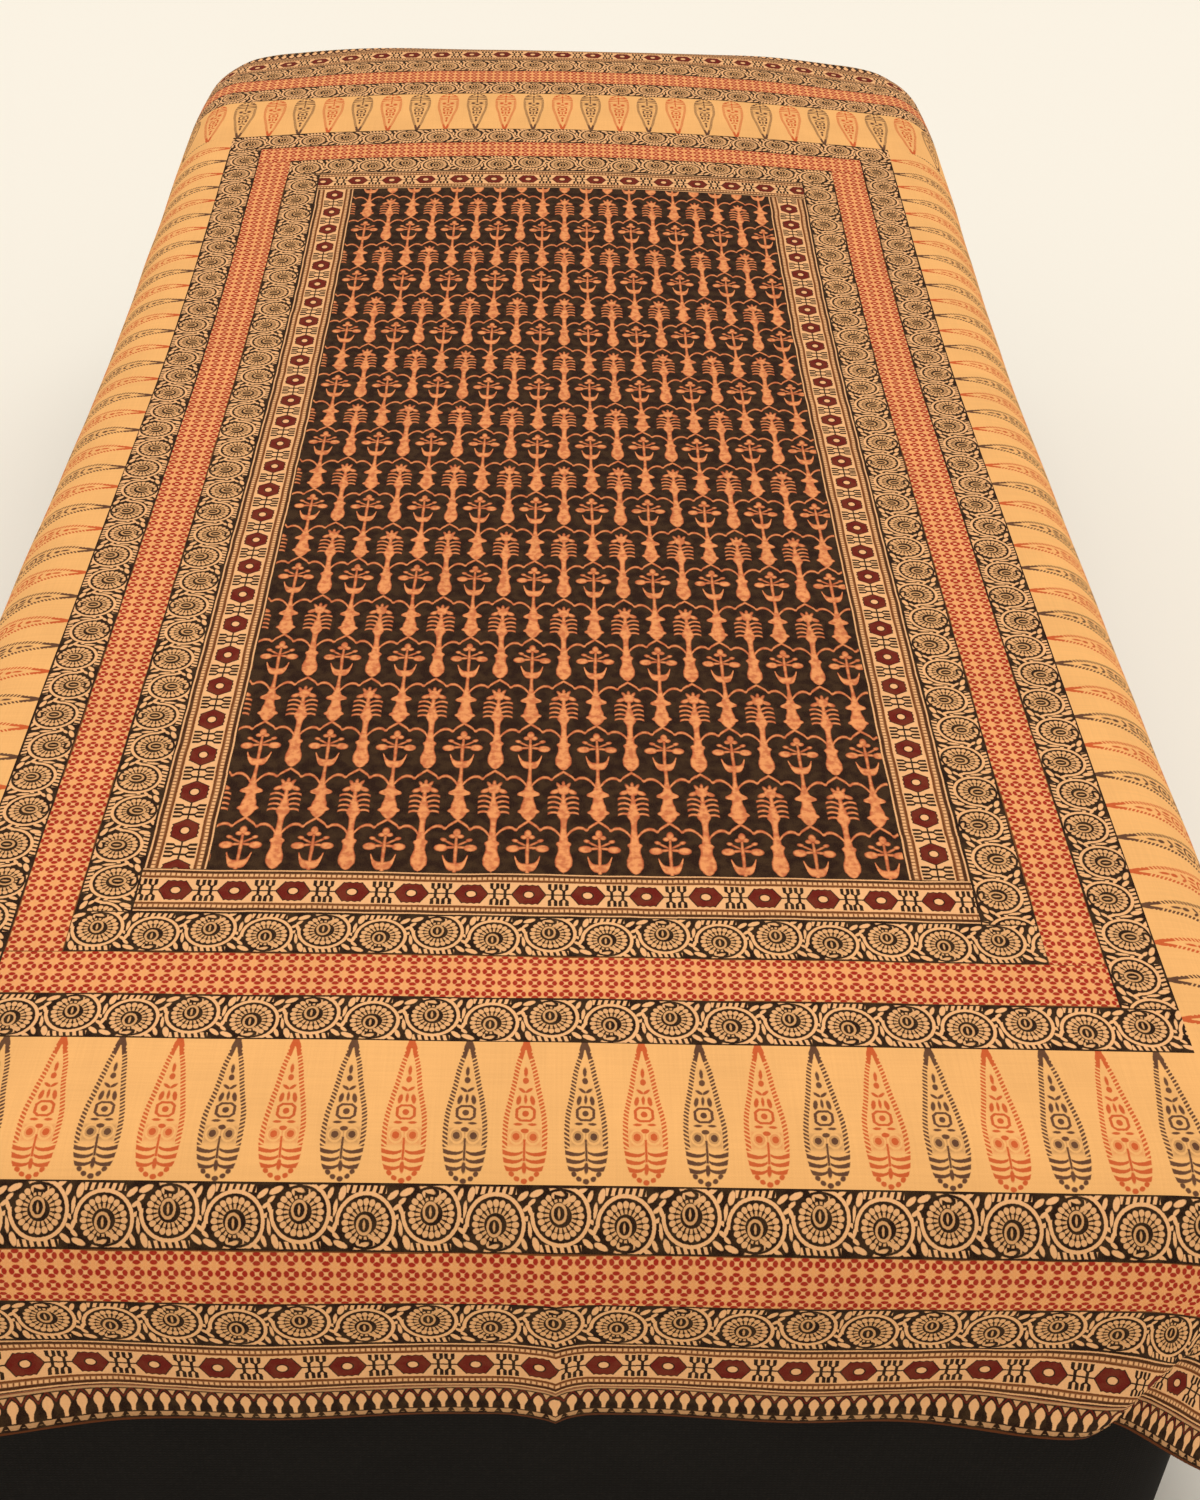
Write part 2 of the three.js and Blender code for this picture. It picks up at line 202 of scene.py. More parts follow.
def fold_curve(folds, column, angle):
    """A smooth curve through one column of a corner's fold table."""
    angles = np.array([row.angle for row in folds], float)
    leans = np.array([getattr(row, column) for row in folds])
    slopes = np.zeros(len(folds))
    slopes[1:-1] = (leans[2:] - leans[:-2]) / (angles[2:] - angles[:-2])
    first = np.clip(np.searchsorted(angles, angle, "right") - 1, 0, len(folds) - 2)
    span = angles[first + 1] - angles[first]
    f = (angle - angles[first]) / span
    curve = (
        (2 * f**3 - 3 * f**2 + 1) * leans[first]
        + (f**3 - 2 * f**2 + f) * span * slopes[first]
        + (3 * f**2 - 2 * f**3) * leans[first + 1]
        + (f**3 - f**2) * span * slopes[first + 1]
    )
    return np.where((angle <= angles[0]) | (angle >= angles[-1]), 0.0, curve)


def hanging_folds(folds, place):
    away = [np.abs(place - row.place) / row.half for row in folds]
    return sum(row.out * (1.0 - smoothstep(share, 0.0, 1.0)) for row, share in zip(folds, away))


def cloth_underside(u, v, settings):
    """Where the flat cloth's points lie when it is spread: level, round the bed's edge, then down."""
    bowed = HEAD_BOW.depth * ((u - HEAD_BOW.middle) / HEAD_BOW.half) ** 2
    s = u - LAY.askew * v
    t = v - LAY.toward_foot - LAY.askew * u
    t = t - np.minimum(bowed, HEAD_BOW.limit) * smoothstep(v, HEAD_BOW.start, HEAD_BOW.end)
    core_x = np.clip(s, -CORE_X, CORE_X)
    core_y = np.clip(t, -CORE_Y, CORE_Y)
    off_x = s - core_x
    off_y = t - core_y
    distance = np.hypot(off_x, off_y)
    cornering = np.clip(np.abs(off_x) / BORDER, 0, 1) * np.clip(np.abs(off_y) / BORDER, 0, 1)
    lift = LAY.rest_gap + LAY.corner_lift * cornering
    radius = TOP_EDGE + LAY.edge_clear
    turn = np.clip((distance - BORDER) / radius, 0.0, math.pi / 2)
    straight = np.maximum(0.0, distance - BORDER - radius * math.pi / 2)
    reach = np.minimum(distance, BORDER) + (radius + lift) * np.sin(turn)
    drop = radius * (1.0 - np.cos(turn)) + straight - lift * np.cos(turn)
    unit = np.maximum(distance, MM)
    x = core_x + off_x / unit * reach
    y = core_y + off_y / unit * reach
    z = BED_TOP + crown_height(x, y) - drop

    side_hem = settings.width / 2 - CORE_X
    foot_hem = settings.length / 2 + LAY.toward_foot - CORE_Y
    side_growth = smoothstep(np.abs(s) - CORE_X, FOLD_START, side_hem)
    foot_growth = smoothstep(-t - CORE_Y, FOLD_START, foot_hem)
    side_out = np.where(s > 0, hanging_folds(RIGHT_SIDE_FOLDS, t), hanging_folds(LEFT_SIDE_FOLDS, t))
    crease_out = settings.crease_depth * np.exp(-np.abs(u) / settings.crease_half)
    x = x + np.sign(s) * side_out * side_growth
    y = y - (hanging_folds(FOOT_FOLDS, s) + crease_out) * foot_growth
    for corner in CORNERS:
        beyond_x = s * corner.across - CORE_X - FOLD_APEX_OUT
        beyond_y = t * corner.along - CORE_Y - FOLD_APEX_OUT
        away = np.hypot(beyond_x, beyond_y)
        length = away * away / (away + FOLD_GROWTH)
        angle = np.degrees(np.arctan2(beyond_x, beyond_y))
        side = fold_curve(corner.folds, "side", angle)
        end = fold_curve(corner.folds, "end", angle)
        x = x + corner.across * side * length
        y = y + corner.along * end * length
        z = z + length * (1.0 - np.sqrt(1.0 - side * side - end * end))
    return np.stack([x, y, z], axis=-1)


NORMAL_STEP = 0.002


def cloth_normal(u, v, settings):
    step = NORMAL_STEP
    across = cloth_underside(u + step, v, settings) - cloth_underside(u - step, v, settings)
    along = cloth_underside(u, v + step, settings) - cloth_underside(u, v - step, settings)
    normal = np.cross(across, along)
    return normal / np.linalg.norm(normal, axis=-1, keepdims=True)


def cloth_skins(u, v, settings):
    """The cloth's underside and top. The hem is turned under, so it is twice as thick."""
    normal = cloth_normal(u, v, settings)
    from_edge = np.minimum(settings.width / 2 - np.abs(u), settings.length / 2 - np.abs(v))
    hem = 1.0 - smoothstep(from_edge, settings.hem_width - MM, settings.hem_width)
    thickness = settings.thickness * (1.0 + hem)
    wave = settings.ripple * cloth_ripples(u, v)
    under = cloth_underside(u, v, settings) + normal * (settings.lift + wave)[..., None]
    return under, under + normal * thickness[..., None]


Ripple = namedtuple("Ripple", "wavelength heading phase")
RIPPLES = (
    Ripple(0.170, 12, 0.3),
    Ripple(0.230, 78, 1.9),
    Ripple(0.118, 140, 4.1),
    Ripple(0.300, 48, 2.6),
)


def cloth_ripples(u, v):
    """Slight unevenness of a cloth smoothed by hand, from 0 to 1."""
    total = 0.0
    for row in RIPPLES:
        heading = math.radians(row.heading)
        place = (u * math.cos(heading) + v * math.sin(heading)) / row.wavelength
        total = total + np.sin(2 * math.pi * place + row.phase)
    return 0.5 + 0.5 * total / len(RIPPLES)


def band_edges(half_size):
    """Where the bands start, from the field out, and the hem, as distances from the middle."""
    widths = [band.width * MM for band in BANDS]
    return half_size - np.cumsum(widths[::-1])[::-1]


ROUNDING = 1e-6


def places_between(marks, cell):
    """Grid places at every mark, with equal cells no wider than cell between neighbours."""
    places = []
    for start, end in zip(marks[:-1], marks[1:]):
        count = max(1, math.ceil((end - start) / cell - ROUNDING))
        places.extend(start + (end - start) * i / count for i in range(count))
    return np.array([*places, marks[-1]])


def sheet_places(half_size, settings, extra=()):
    marks = {0.0, half_size, half_size - settings.hem_width, half_size - settings.hem_width + MM}
    marks.update(band_edges(half_size))
    marks.update(extra)
    marks = sorted(marks)
    right = places_between(marks, settings.cell)
    return np.concatenate([-right[:0:-1], right])


def print_cells(u, v, settings):
    """For cells centred at (u, v): the band each lies in, and which way that band runs."""
    across_edges = band_edges(settings.width / 2)
    along_edges = band_edges(settings.length / 2)
    across_band = np.searchsorted(across_edges, np.abs(u), "right")
    along_band = np.searchsorted(along_edges, np.abs(v), "right")
    band = np.maximum(across_band, along_band)
    at_end = along_band >= across_band
    return band, at_end


def print_places(u, v, band, run, settings):
    """The print's own coordinates of corners (u, v): along and across the band they belong to."""
    if band == 0:
        return u, v
    name, kind, _ = BANDS[band - 1]
    edge = band_edges((settings.length if run in ("foot", "head") else settings.width) / 2)[band - 1]
    along = {"foot": u, "right": v, "head": -u, "left": -v}[run]
    out = {"foot": -v, "right": u, "head": v, "left": -u}[run]
    nominal = NOMINAL_PITCH[kind]
    setting = SETTINGS.get((name, run), Setting(0.0, nominal))
    return (along - setting.start * MM) * nominal / setting.pitch, out - edge


# Rows of cells beside the centre crease, in crease half widths
CREASE_ROWS = (0.5, 1.0, 1.8, 3.0)
JUST_INSIDE = 1 - 1e-9
RUNS = ("foot", "right", "head", "left")

# The bake map: the top fills its height, and the underside and the rims lie beside it at half size
BAKE_FILL = 0.98
BAKE_WIDTH_SHARE = 1.5
BAKE_MARGIN = 0.01
BAKE_GAP = 0.015
BAKE_RIM_STEP = 0.03
BAKE_RIM_WIDTH = 0.005
BAKE_RIM_START = 0.51
BAKE_RIM_SHARE = 0.9


class ClothMesh:
    """Gathers the sheet's faces with their print, cloth and bake coordinates."""

    def __init__(self, settings):
        self.settings = settings
        extra = [settings.crease_half * share for share in CREASE_ROWS]
        self.across = sheet_places(settings.width / 2, settings, extra)
        self.along = sheet_places(settings.length / 2, settings)
        self.u, self.v = np.meshgrid(self.across, self.along)
        self.under, self.top = cloth_skins(self.u, self.v, settings)
        self.faces = []
        self.kinds = []
        self.print_map = []
        self.cloth_map = []
        self.bake_map = []
        self.dye = []

    def index(self, rows, columns, skin):
        return (rows * len(self.across) + columns) * 2 + skin

    def add(self, corners, skins, bake):
        """Adds quads. corners holds rows and columns of the four corners, skins 0 under or 1 top."""
        rows = np.stack([corner[0] for corner in corners], axis=-1)
        columns = np.stack([corner[1] for corner in corners], axis=-1)
        skins = np.broadcast_to(np.array(skins), rows.shape)
        self.faces.append(self.index(rows, columns, skins))
        u = self.u[rows, columns]
        v = self.v[rows, columns]
        self.cloth_map.append(np.stack([u, v], axis=-1))
        self.bake_map.append(bake(u, v, skins))
        middle_u = u.mean(axis=-1)
        middle_v = v.mean(axis=-1)
        band, at_end = print_cells(middle_u * JUST_INSIDE, middle_v * JUST_INSIDE, self.settings)
        end_name = np.where(middle_v < 0, "foot", "head")
        side_name = np.where(middle_u < 0, "left", "right")
        run = np.where(at_end, end_name, side_name)
        printed = np.zeros(u.shape + (2,))
        kinds = np.zeros(len(u), int)
        for number in range(len(BANDS) + 1):
            for name in RUNS:
                chosen = (band == number) & ((run == name) | (number == 0))
                if chosen.any():
                    place = print_places(u[chosen], v[chosen], number, name, self.settings)
                    printed[chosen] = np.stack(place, axis=-1)
            kind = BANDS[number - 1].kind if number else "field"
            kinds[band == number] = [row.kind for row in PRINTS].index(kind)
        self.print_map.append(printed)
        self.kinds.append(kinds)
        self.dye.append(np.where(skins == 1, 1.0, self.settings.strike_through))

    def build(self, name):
        rows, columns = np.meshgrid(
            np.arange(len(self.along) - 1), np.arange(len(self.across) - 1), indexing="ij"
        )
        rows = rows.ravel()
        columns = columns.ravel()
        square = [(rows, columns), (rows, columns + 1), (rows + 1, columns + 1), (rows + 1, columns)]
        self.add(square, (1, 1, 1, 1), self.bake_top)
        self.add(square[::-1], (0, 0, 0, 0), self.bake_under)
        last_row = len(self.along) - 1
        last_column = len(self.across) - 1
        column = np.arange(last_column)
        row = np.arange(last_row)
        foot = np.zeros_like(column)
        head = np.full_like(column, last_row)
        left = np.zeros_like(row)
        right = np.full_like(row, last_column)
        strips = (
            ((foot, column), (foot, column + 1), True),
            ((head, column + 1), (head, column), True),
            ((row, right), (row + 1, right), False),
            ((row + 1, left), (row, left), False),
        )
        for number, (start, end, at_end) in enumerate(strips):
            self.add([start, end, end, start], (0, 0, 1, 1), self.bake_rim(number, at_end))
        return self.make_mesh(name)

    def bake_scale(self):
        return BAKE_FILL / max(self.settings.length, self.settings.width * BAKE_WIDTH_SHARE)

    def bake_beside(self):
        """Where the underside starts, across the map."""
        return BAKE_GAP + self.settings.width * self.bake_scale()

    def bake_face(self, u, v, scale, start):
        from_left = u + self.settings.width / 2
        from_foot = v + self.settings.length / 2
        return np.stack([start + from_left * scale, BAKE_MARGIN + from_foot * scale], axis=-1)

    def bake_top(self, u, v, skins):
        return self.bake_face(u, v, self.bake_scale(), BAKE_MARGIN)

    def bake_under(self, u, v, skins):
        return self.bake_face(u, v, self.bake_scale() / 2, self.bake_beside())

    def bake_rim(self, number, at_end):
        """How one edge of the sheet lies on the bake map, as a strip of its own."""
        strip_place = self.bake_beside() + BAKE_RIM_STEP * (number + 1)

        def bake(u, v, skins):
            length = u + self.settings.width / 2 if at_end else v + self.settings.length / 2
            along = BAKE_RIM_START + length * (self.bake_scale() / 2 * BAKE_RIM_SHARE)
            return np.stack([strip_place + skins * BAKE_RIM_WIDTH, along], axis=-1)

        return bake

    def make_mesh(self, name):
        points = np.stack([self.under, self.top], axis=-2).reshape(-1, 3)
        faces = np.concatenate(self.faces)
        mesh = bpy.data.meshes.new(name)
        mesh.from_pydata(points.tolist(), [], faces.tolist())
        mesh.polygons.foreach_set("material_index", np.concatenate(self.kinds).astype(np.int32))
        mesh.polygons.foreach_set("use_smooth", np.ones(len(faces), bool))
        maps = {
            "OFBake": np.concatenate(self.bake_map),
            "Print": np.concatenate(self.print_map),
            "Cloth": np.concatenate(self.cloth_map),
        }
        for map_name, values in maps.items():
            layer = mesh.uv_layers.new(name=map_name)
            layer.data.foreach_set("uv", values.astype(np.float32).ravel())
        dye = mesh.attributes.new("Dye strength", "FLOAT", "CORNER")
        dye.data.foreach_set("value", np.concatenate(self.dye).astype(np.float32).ravel())
        mesh.update()
        return mesh


def hem_line(settings, from_edge, spacing):
    """Points along the four edges of the sheet's top, a little inside the hem."""
    half_u = settings.width / 2 - from_edge
    half_v = settings.length / 2 - from_edge
    corners = [(-half_u, -half_v), (half_u, -half_v), (half_u, half_v), (-half_u, half_v)]
    flat = []
    for start, end in zip(corners, corners[1:] + corners[:1]):
        count = round(math.dist(start, end) / spacing)
        share = np.arange(count)[:, None] / count
        flat.append(np.array(start) * (1 - share) + np.array(end) * share)
    flat = np.concatenate(flat)
    _, top = cloth_skins(flat[:, 0], flat[:, 1], settings)
    return top


# The mattress and its base: rings of the bed's plan, drawn in from its faces

PlanSide = namedtuple("PlanSide", "from_corner to_corner out first_angle cells")
PLAN_SIDES = (
    PlanSide((1, -1), (1, 1), (1, 0), -90, "along"),
    PlanSide((1, 1), (-1, 1), (0, 1), 0, "across"),
    PlanSide((-1, 1), (-1, -1), (-1, 0), 90, "along"),
    PlanSide((-1, -1), (1, -1), (0, -1), 180, "across"),
)
BLOCK_CELLS = {"across": 24, "along": 52, "arc": 18, "top_edge": 10, "bottom_edge": 6, "wall": 4}


def plan_outline(inset):
    radius = CORNER_RADIUS - inset
    core = np.array([CORE_X, CORE_Y])
    outline = []
    for side in PLAN_SIDES:
        start = core * side.from_corner
        end = core * side.to_corner
        for i in range(BLOCK_CELLS["arc"]):
            angle = math.radians(side.first_angle + 90 * i / BLOCK_CELLS["arc"])
            outline.append(start + radius * np.array([math.cos(angle), math.sin(angle)]))
        count = BLOCK_CELLS[side.cells]
        for i in range(count):
            outline.append(start + (end - start) * i / count + radius * np.array(side.out))
    return np.array(outline)


def quarter_round(radius, cells):
    """Rows of inset and rise, from the level end of a rounded edge to its upright end."""
    angles = [math.pi / 2 * i / cells for i in range(cells + 1)]
    return [(radius * (1 - math.sin(angle)), radius * (1 - math.cos(angle))) for angle in angles]


def level_at(height):
    return lambda x, y: np.full(x.shape, height)


class BedBlock:
    """A block with the bed's rounded plan, as one closed smooth mesh."""

    def __init__(self, inset, bottom, bottom_edge, top_edge, top_at):
        self.points = []
        self.faces = []
        rings = []
        for row_inset, rise in quarter_round(bottom_edge, BLOCK_CELLS["bottom_edge"]):
            rings.append(self.add_ring(plan_outline(inset + row_inset), bottom + rise))
        foot = bottom + bottom_edge
        plan = plan_outline(inset)
        shoulder = top_at(*plan.T) - top_edge
        for i in range(1, BLOCK_CELLS["wall"]):
            share = i / BLOCK_CELLS["wall"]
            rings.append(self.add_ring(plan, foot + (shoulder - foot) * share))
        for row_inset, fall in reversed(quarter_round(top_edge, BLOCK_CELLS["top_edge"])):
            plan = plan_outline(inset + row_inset)
            rings.append(self.add_ring(plan, top_at(*plan.T) - fall))
        for lower, higher in zip(rings[:-1], rings[1:]):
            self.join_rings(lower, higher)
        self.add_cap(rings[0], level_at(bottom), upwards=False)
        self.add_cap(rings[-1], top_at, upwards=True)

    def add_points(self, x, y, heights):
        first = len(self.points)
        heights = np.broadcast_to(heights, x.shape)
        self.points.extend(np.stack([x, y, heights], axis=-1).reshape(-1, 3).tolist())
        return first

    def add_ring(self, outline, heights):
        first = self.add_points(*outline.T, heights)
        return range(first, first + len(outline))

    def join_rings(self, lower, higher):
        count = len(lower)
        for i in range(count):
            after = (i + 1) % count
            self.faces.append((lower[i], lower[after], higher[after], higher[i]))

    def add_cap(self, ring, height_at, upwards):
        """A level or crowned face: a grid over the core rectangle, with strips out to the ring."""
        across = BLOCK_CELLS["across"]
        along = BLOCK_CELLS["along"]
        columns = np.linspace(-CORE_X, CORE_X, across + 1)
        rows = np.linspace(-CORE_Y, CORE_Y, along + 1)
        x, y = np.meshgrid(columns, rows)
        first = self.add_points(x, y, height_at(x, y))

        def grid(i, j):
            return first + j * (across + 1) + i

        faces = []
        for j in range(along):
            for i in range(across):
                faces.append((grid(i, j), grid(i + 1, j), grid(i + 1, j + 1), grid(i, j + 1)))
        inner_edges = (
            lambda k: grid(across, k),
            lambda k: grid(across - k, along),
            lambda k: grid(0, along - k),
            lambda k: grid(k, 0),
        )
        k = 0
        for side, inner in zip(PLAN_SIDES, inner_edges):
            for i in range(BLOCK_CELLS["arc"]):
                faces.append((inner(0), ring[k + i], ring[(k + i + 1) % len(ring)]))
            k += BLOCK_CELLS["arc"]
            for i in range(BLOCK_CELLS[side.cells]):
                after = ring[(k + i + 1) % len(ring)]
                faces.append((ring[k + i], after, inner(i + 1), inner(i)))
            k += BLOCK_CELLS[side.cells]
        self.faces.extend(faces if upwards else [face[::-1] for face in faces])

    def make_mesh(self, name):
        mesh = bpy.data.meshes.new(name)
        mesh.from_pydata(self.points, [], self.faces)
        mesh.polygons.foreach_set("use_smooth", np.ones(len(self.faces), bool))
        mesh.update()
        return mesh


# Sums written as nodes


class Term:
    """An output socket that sums can be written with."""

    def __init__(self, socket):
        self.socket = socket

    def __neg__(self):
        return maths("MULTIPLY", self, -1.0)

    def __abs__(self):
        return maths("ABSOLUTE", self)


def add_sign(name, operation):
    """Lets a term be joined by a sign to another term or to a number, on either side."""
    setattr(Term, f"__{name}__", lambda self, other: maths(operation, self, other))
    setattr(Term, f"__r{name}__", lambda self, other: maths(operation, other, self))


SIGNS = {"add": "ADD", "sub": "SUBTRACT", "mul": "MULTIPLY", "truediv": "DIVIDE"}
for sign, sign_operation in SIGNS.items():
    add_sign(sign, sign_operation)


def new_node(kind, inputs, **fields):
    """Adds a node to the tree that the inputs belong to, sets its fields and plugs its inputs in."""
    tree = next(part.socket.node.id_data for part in inputs.values() if isinstance(part, Term))
    node = tree.nodes.new(kind)
    for field, value in fields.items():
        setattr(node, field, value)
    for name, part in inputs.items():
        if isinstance(part, Term):
            tree.links.new(part.socket, node.inputs[name])
        else:
            node.inputs[name].default_value = part
    return node


def term(kind, inputs, output=0, **fields):
    """Adds a node and gives one of its outputs."""
    return Term(new_node(kind, inputs, **fields).outputs[output])


def maths(operation, *parts):
    return term("ShaderNodeMath", dict(enumerate(parts)), operation=operation)


def vector_maths(operation, *parts, **inputs):
    output = "Value" if operation == "LENGTH" else "Vector"
    inputs = {**dict(enumerate(parts)), **inputs}
    return term("ShaderNodeVectorMath", inputs, output, operation=operation)


def point(x, y):
    return term("ShaderNodeCombineXYZ", {"X": x, "Y": y})


def split(place):
    node = new_node("ShaderNodeSeparateXYZ", {"Vector": place})
    return Term(node.outputs["X"]), Term(node.outputs["Y"])


def nearest(*distances):
    """Distance to a shape joined from several."""
    result = distances[0]
    for distance in distances[1:]:
        result = maths("MINIMUM", result, distance)
    return result


def common(*distances):
    """Distance to what several shapes have in common."""
    result = distances[0]
    for distance in distances[1:]:
        result = maths("MAXIMUM", result, distance)
    return result


def between(value, start, end, low=0.0, high=1.0, soft=False):
    """Goes from low to high as the value goes from start to end."""
    inputs = {"Value": value, "From Min": start, "From Max": end, "To Min": low, "To Max": high}
    return term("ShaderNodeMapRange", inputs, interpolation_type="SMOOTHSTEP" if soft else "LINEAR")


def inside(distance, edge):
    """1 inside a shape and 0 outside it, over a soft edge."""
    return between(distance, -edge / 2, edge / 2, low=1.0, high=0.0)


Stripe = namedtuple("Stripe", "middle half")


def stripe(value, shape):
    """Distance to a stripe about its middle value."""
    return abs(value - shape.middle) - shape.half


def repeated(value, pitch):
    """The number of the nearest repeat, and the place from its middle."""
    number = maths("ROUND", value / pitch)
    return number, value - number * pitch


def is_odd(number):
    return maths("FLOORED_MODULO", number, 2.0)


def mixed(first, second, share):
    return first + (second - first) * share


# Places of the mix node's colour sockets, which share their names with its other kinds
MIX_SHARE, MIX_FIRST, MIX_SECOND = 0, 6, 7
MIX_RESULT = 2


def coloured(first, second, share):
    """A colour from first to second."""
    inputs = {MIX_SHARE: share, MIX_FIRST: first, MIX_SECOND: second}
    return term("ShaderNodeMix", inputs, MIX_RESULT, data_type="RGBA", clamp_factor=True)


def profile(value, points):
    """A smooth curve through (value, result) points."""
    values = [row[0] for row in points]
    results = [row[1] for row in points]
    low, high = min(results), max(results)
    share = between(value, values[0], values[-1])
    node = new_node("ShaderNodeFloatCurve", {"Value": share})
    node.mapping.extend = "HORIZONTAL"
    curve = node.mapping.curves[0]
    places = [((x - values[0]) / (values[-1] - values[0]), (y - low) / (high - low)) for x, y in points]
    curve.points[0].location = places[0]
    curve.points[1].location = places[-1]
    for place in places[1:-1]:
        curve.points.new(*place)
    for knot in curve.points:
        knot.handle_type = "AUTO_CLAMPED"
    node.mapping.update()
    return maths("MULTIPLY_ADD", Term(node.outputs[0]), high - low, low)


Oval = namedtuple("Oval", "x y half_width half_height turn")


def oval(place, shape):
    """Distance outside an oval that is turned anticlockwise by some degrees."""
    radius = min(shape.half_width, shape.half_height)
    stretch = (1 / shape.half_width, 1 / shape.half_height, 0)
    if shape.turn:
        moved = vector_maths("SUBTRACT", place, (shape.x, shape.y, 0))
        inputs = {"Vector": moved, "Angle": -math.radians(shape.turn)}
        turned = term("ShaderNodeVectorRotate", inputs, rotation_type="Z_AXIS")
        scaled = vector_maths("MULTIPLY", turned, stretch)
    else:
        shift = (-shape.x * stretch[0], -shape.y * stretch[1], 0)
        scaled = vector_maths("MULTIPLY_ADD", place, stretch, shift)
    return maths("MULTIPLY_ADD", vector_maths("LENGTH", scaled), radius, -radius)


def ovals(place, shapes):
    return nearest(*[oval(place, shape) for shape in shapes])


def distance_from(place, x, y):
    return vector_maths("LENGTH", vector_maths("SUBTRACT", place, (x, y, 0)))


VECTOR = "NodeSocketVector"
FLOAT = "NodeSocketFloat"
COLOUR = "NodeSocketColor"
GEOMETRY = "NodeSocketGeometry"


class NodeGroup:
    """A node group under construction. Inputs are given by their kind, or by a number to start from."""

    def __init__(self, name, inputs, outputs, kind="ShaderNodeTree"):
        self.tree = bpy.data.node_groups.new(name, kind)
        for socket_name, start in inputs.items():
            is_number = isinstance(start, float)
            socket = self.tree.interface.new_socket(
                socket_name, in_out="INPUT", socket_type=FLOAT if is_number else start
            )
            if is_number:
                socket.default_value = start
        for socket_name, socket_kind in outputs.items():
            self.tree.interface.new_socket(socket_name, in_out="OUTPUT", socket_type=socket_kind)
        self.entry = self.tree.nodes.new("NodeGroupInput")
        self.exit = self.tree.nodes.new("NodeGroupOutput")

    def given(self, name):
        return Term(self.entry.outputs[name])

    def give(self, **results):
        for name, result in results.items():
            self.tree.links.new(result.socket, self.exit.inputs[name])
        arrange(self.tree)
        return self.tree


NODE_SPACING = (190, 170)


def arrange(tree):
    """Sets the nodes out in columns, by how many nodes lie before them."""
    before = {node: set() for node in tree.nodes}
    for link in tree.links:
        before[link.to_node].add(link.from_node)
    depth = {}

    def depth_of(node):
        if node not in depth:
            depth[node] = 1 + max((depth_of(other) for other in before[node]), default=-1)
        return depth[node]

    rows = {}
    for node in tree.nodes:
        column = depth_of(node)
        rows[column] = rows.get(column, 0) + 1
        node.location = (column * NODE_SPACING[0], -rows[column] * NODE_SPACING[1])


def solid(colour):
    return (*colour, 1.0)


def noise(place, scale, detail=1.0, output="Fac", dimensions="2D"):
    inputs = {"Vector": place, "Scale": scale, "Detail": detail}
    return term("ShaderNodeTexNoise", inputs, output, noise_dimensions=dimensions)


NOISE_MIDDLE = (0.5, 0.5, 0.5)


def hand_block_group():
    """Print coordinates in millimetres, as uneven as blocks set by hand and dye that creeps."""
    group = NodeGroup(
        "Hand set blocks",
        {
            "Place": VECTOR,
            "Drift": 1.6,
            "Drift size": 38.0,
            "Creep": 0.55,
            "Creep size": 1.5,
            "Block length": 124.0,
            "Slip": 0.7,
        },
        {"Place": VECTOR},
    )
    place = vector_maths("SCALE", group.given("Place"), Scale=1 / MM)
    along, _ = split(place)
    drift = noise(place, 1.0 / group.given("Drift size"), output="Color")
    creep = noise(place, 1.0 / group.given("Creep size"), output="Color")
    block = maths("ROUND", along / group.given("Block length"))
    slip = term("ShaderNodeTexWhiteNoise", {"W": block}, "Color", noise_dimensions="1D")
    for wander, size in ((drift, "Drift"), (creep, "Creep"), (slip, "Slip")):
        centred = vector_maths("SUBTRACT", wander, NOISE_MIDDLE)
        place = vector_maths("ADD", place, vector_maths("SCALE", centred, Scale=group.given(size)))
    return group.give(Place=place)


def pattern_group(name, colours):
    inputs = {"Place": VECTOR, **dict.fromkeys(colours, COLOUR)}
    return NodeGroup(name, inputs, {"Colour": COLOUR, "Ink": FLOAT})


def painted(group, ground, *coats):
    """The group's ground colour under coats of dye, each given by its name and share."""
    colour = group.given(ground)
    for name, share in coats:
        colour = coloured(colour, group.given(name), share)
    return colour


# The charts of the patterns are in millimetres. Bands are measured in from their inner edge, and
# ovals and outlines from the middle of a repeat.

FULL_TURN = 2 * math.pi
SCROLL_MIDDLE = 21.0
SCROLL_HALF = 19.6
MEDALLION_RISE = 2.9
MEDALLION_RADIUS = 14.6
VINE = Stripe(18.0, 1.2)
VINE_OPEN_FROM = (1.0, 1.5)
RING_GAP = Stripe(15.8, 0.9)
PETAL_COUNT = 20
PETAL_RING = 12.7
PETAL_RADIUS = 1.8
PETAL_SQUASH = 0.8
PETAL_OPENING = Stripe(0.4, 4.4)
PETAL_OPENING_RISE = 6.0
SEED_RING = Stripe(8.7, 1.5)
SEED_HALF = 0.85
MEDALLION_EYE = Oval(-0.8, 1.3, 4.9, 6.4, 0)
EYE_GAP = 0.6
EYE_LINE = 1.5
EYE_SLIT = Oval(-0.8, 1.3, 0.8, 2.9, 0)
TOOTH_PITCH = 4.4
TOOTH_SLANT = 0.3
TOOTH_HALF = 1.2
TEETH_BELOW = 15.0
TEETH_HALF_WIDTH = 13.0
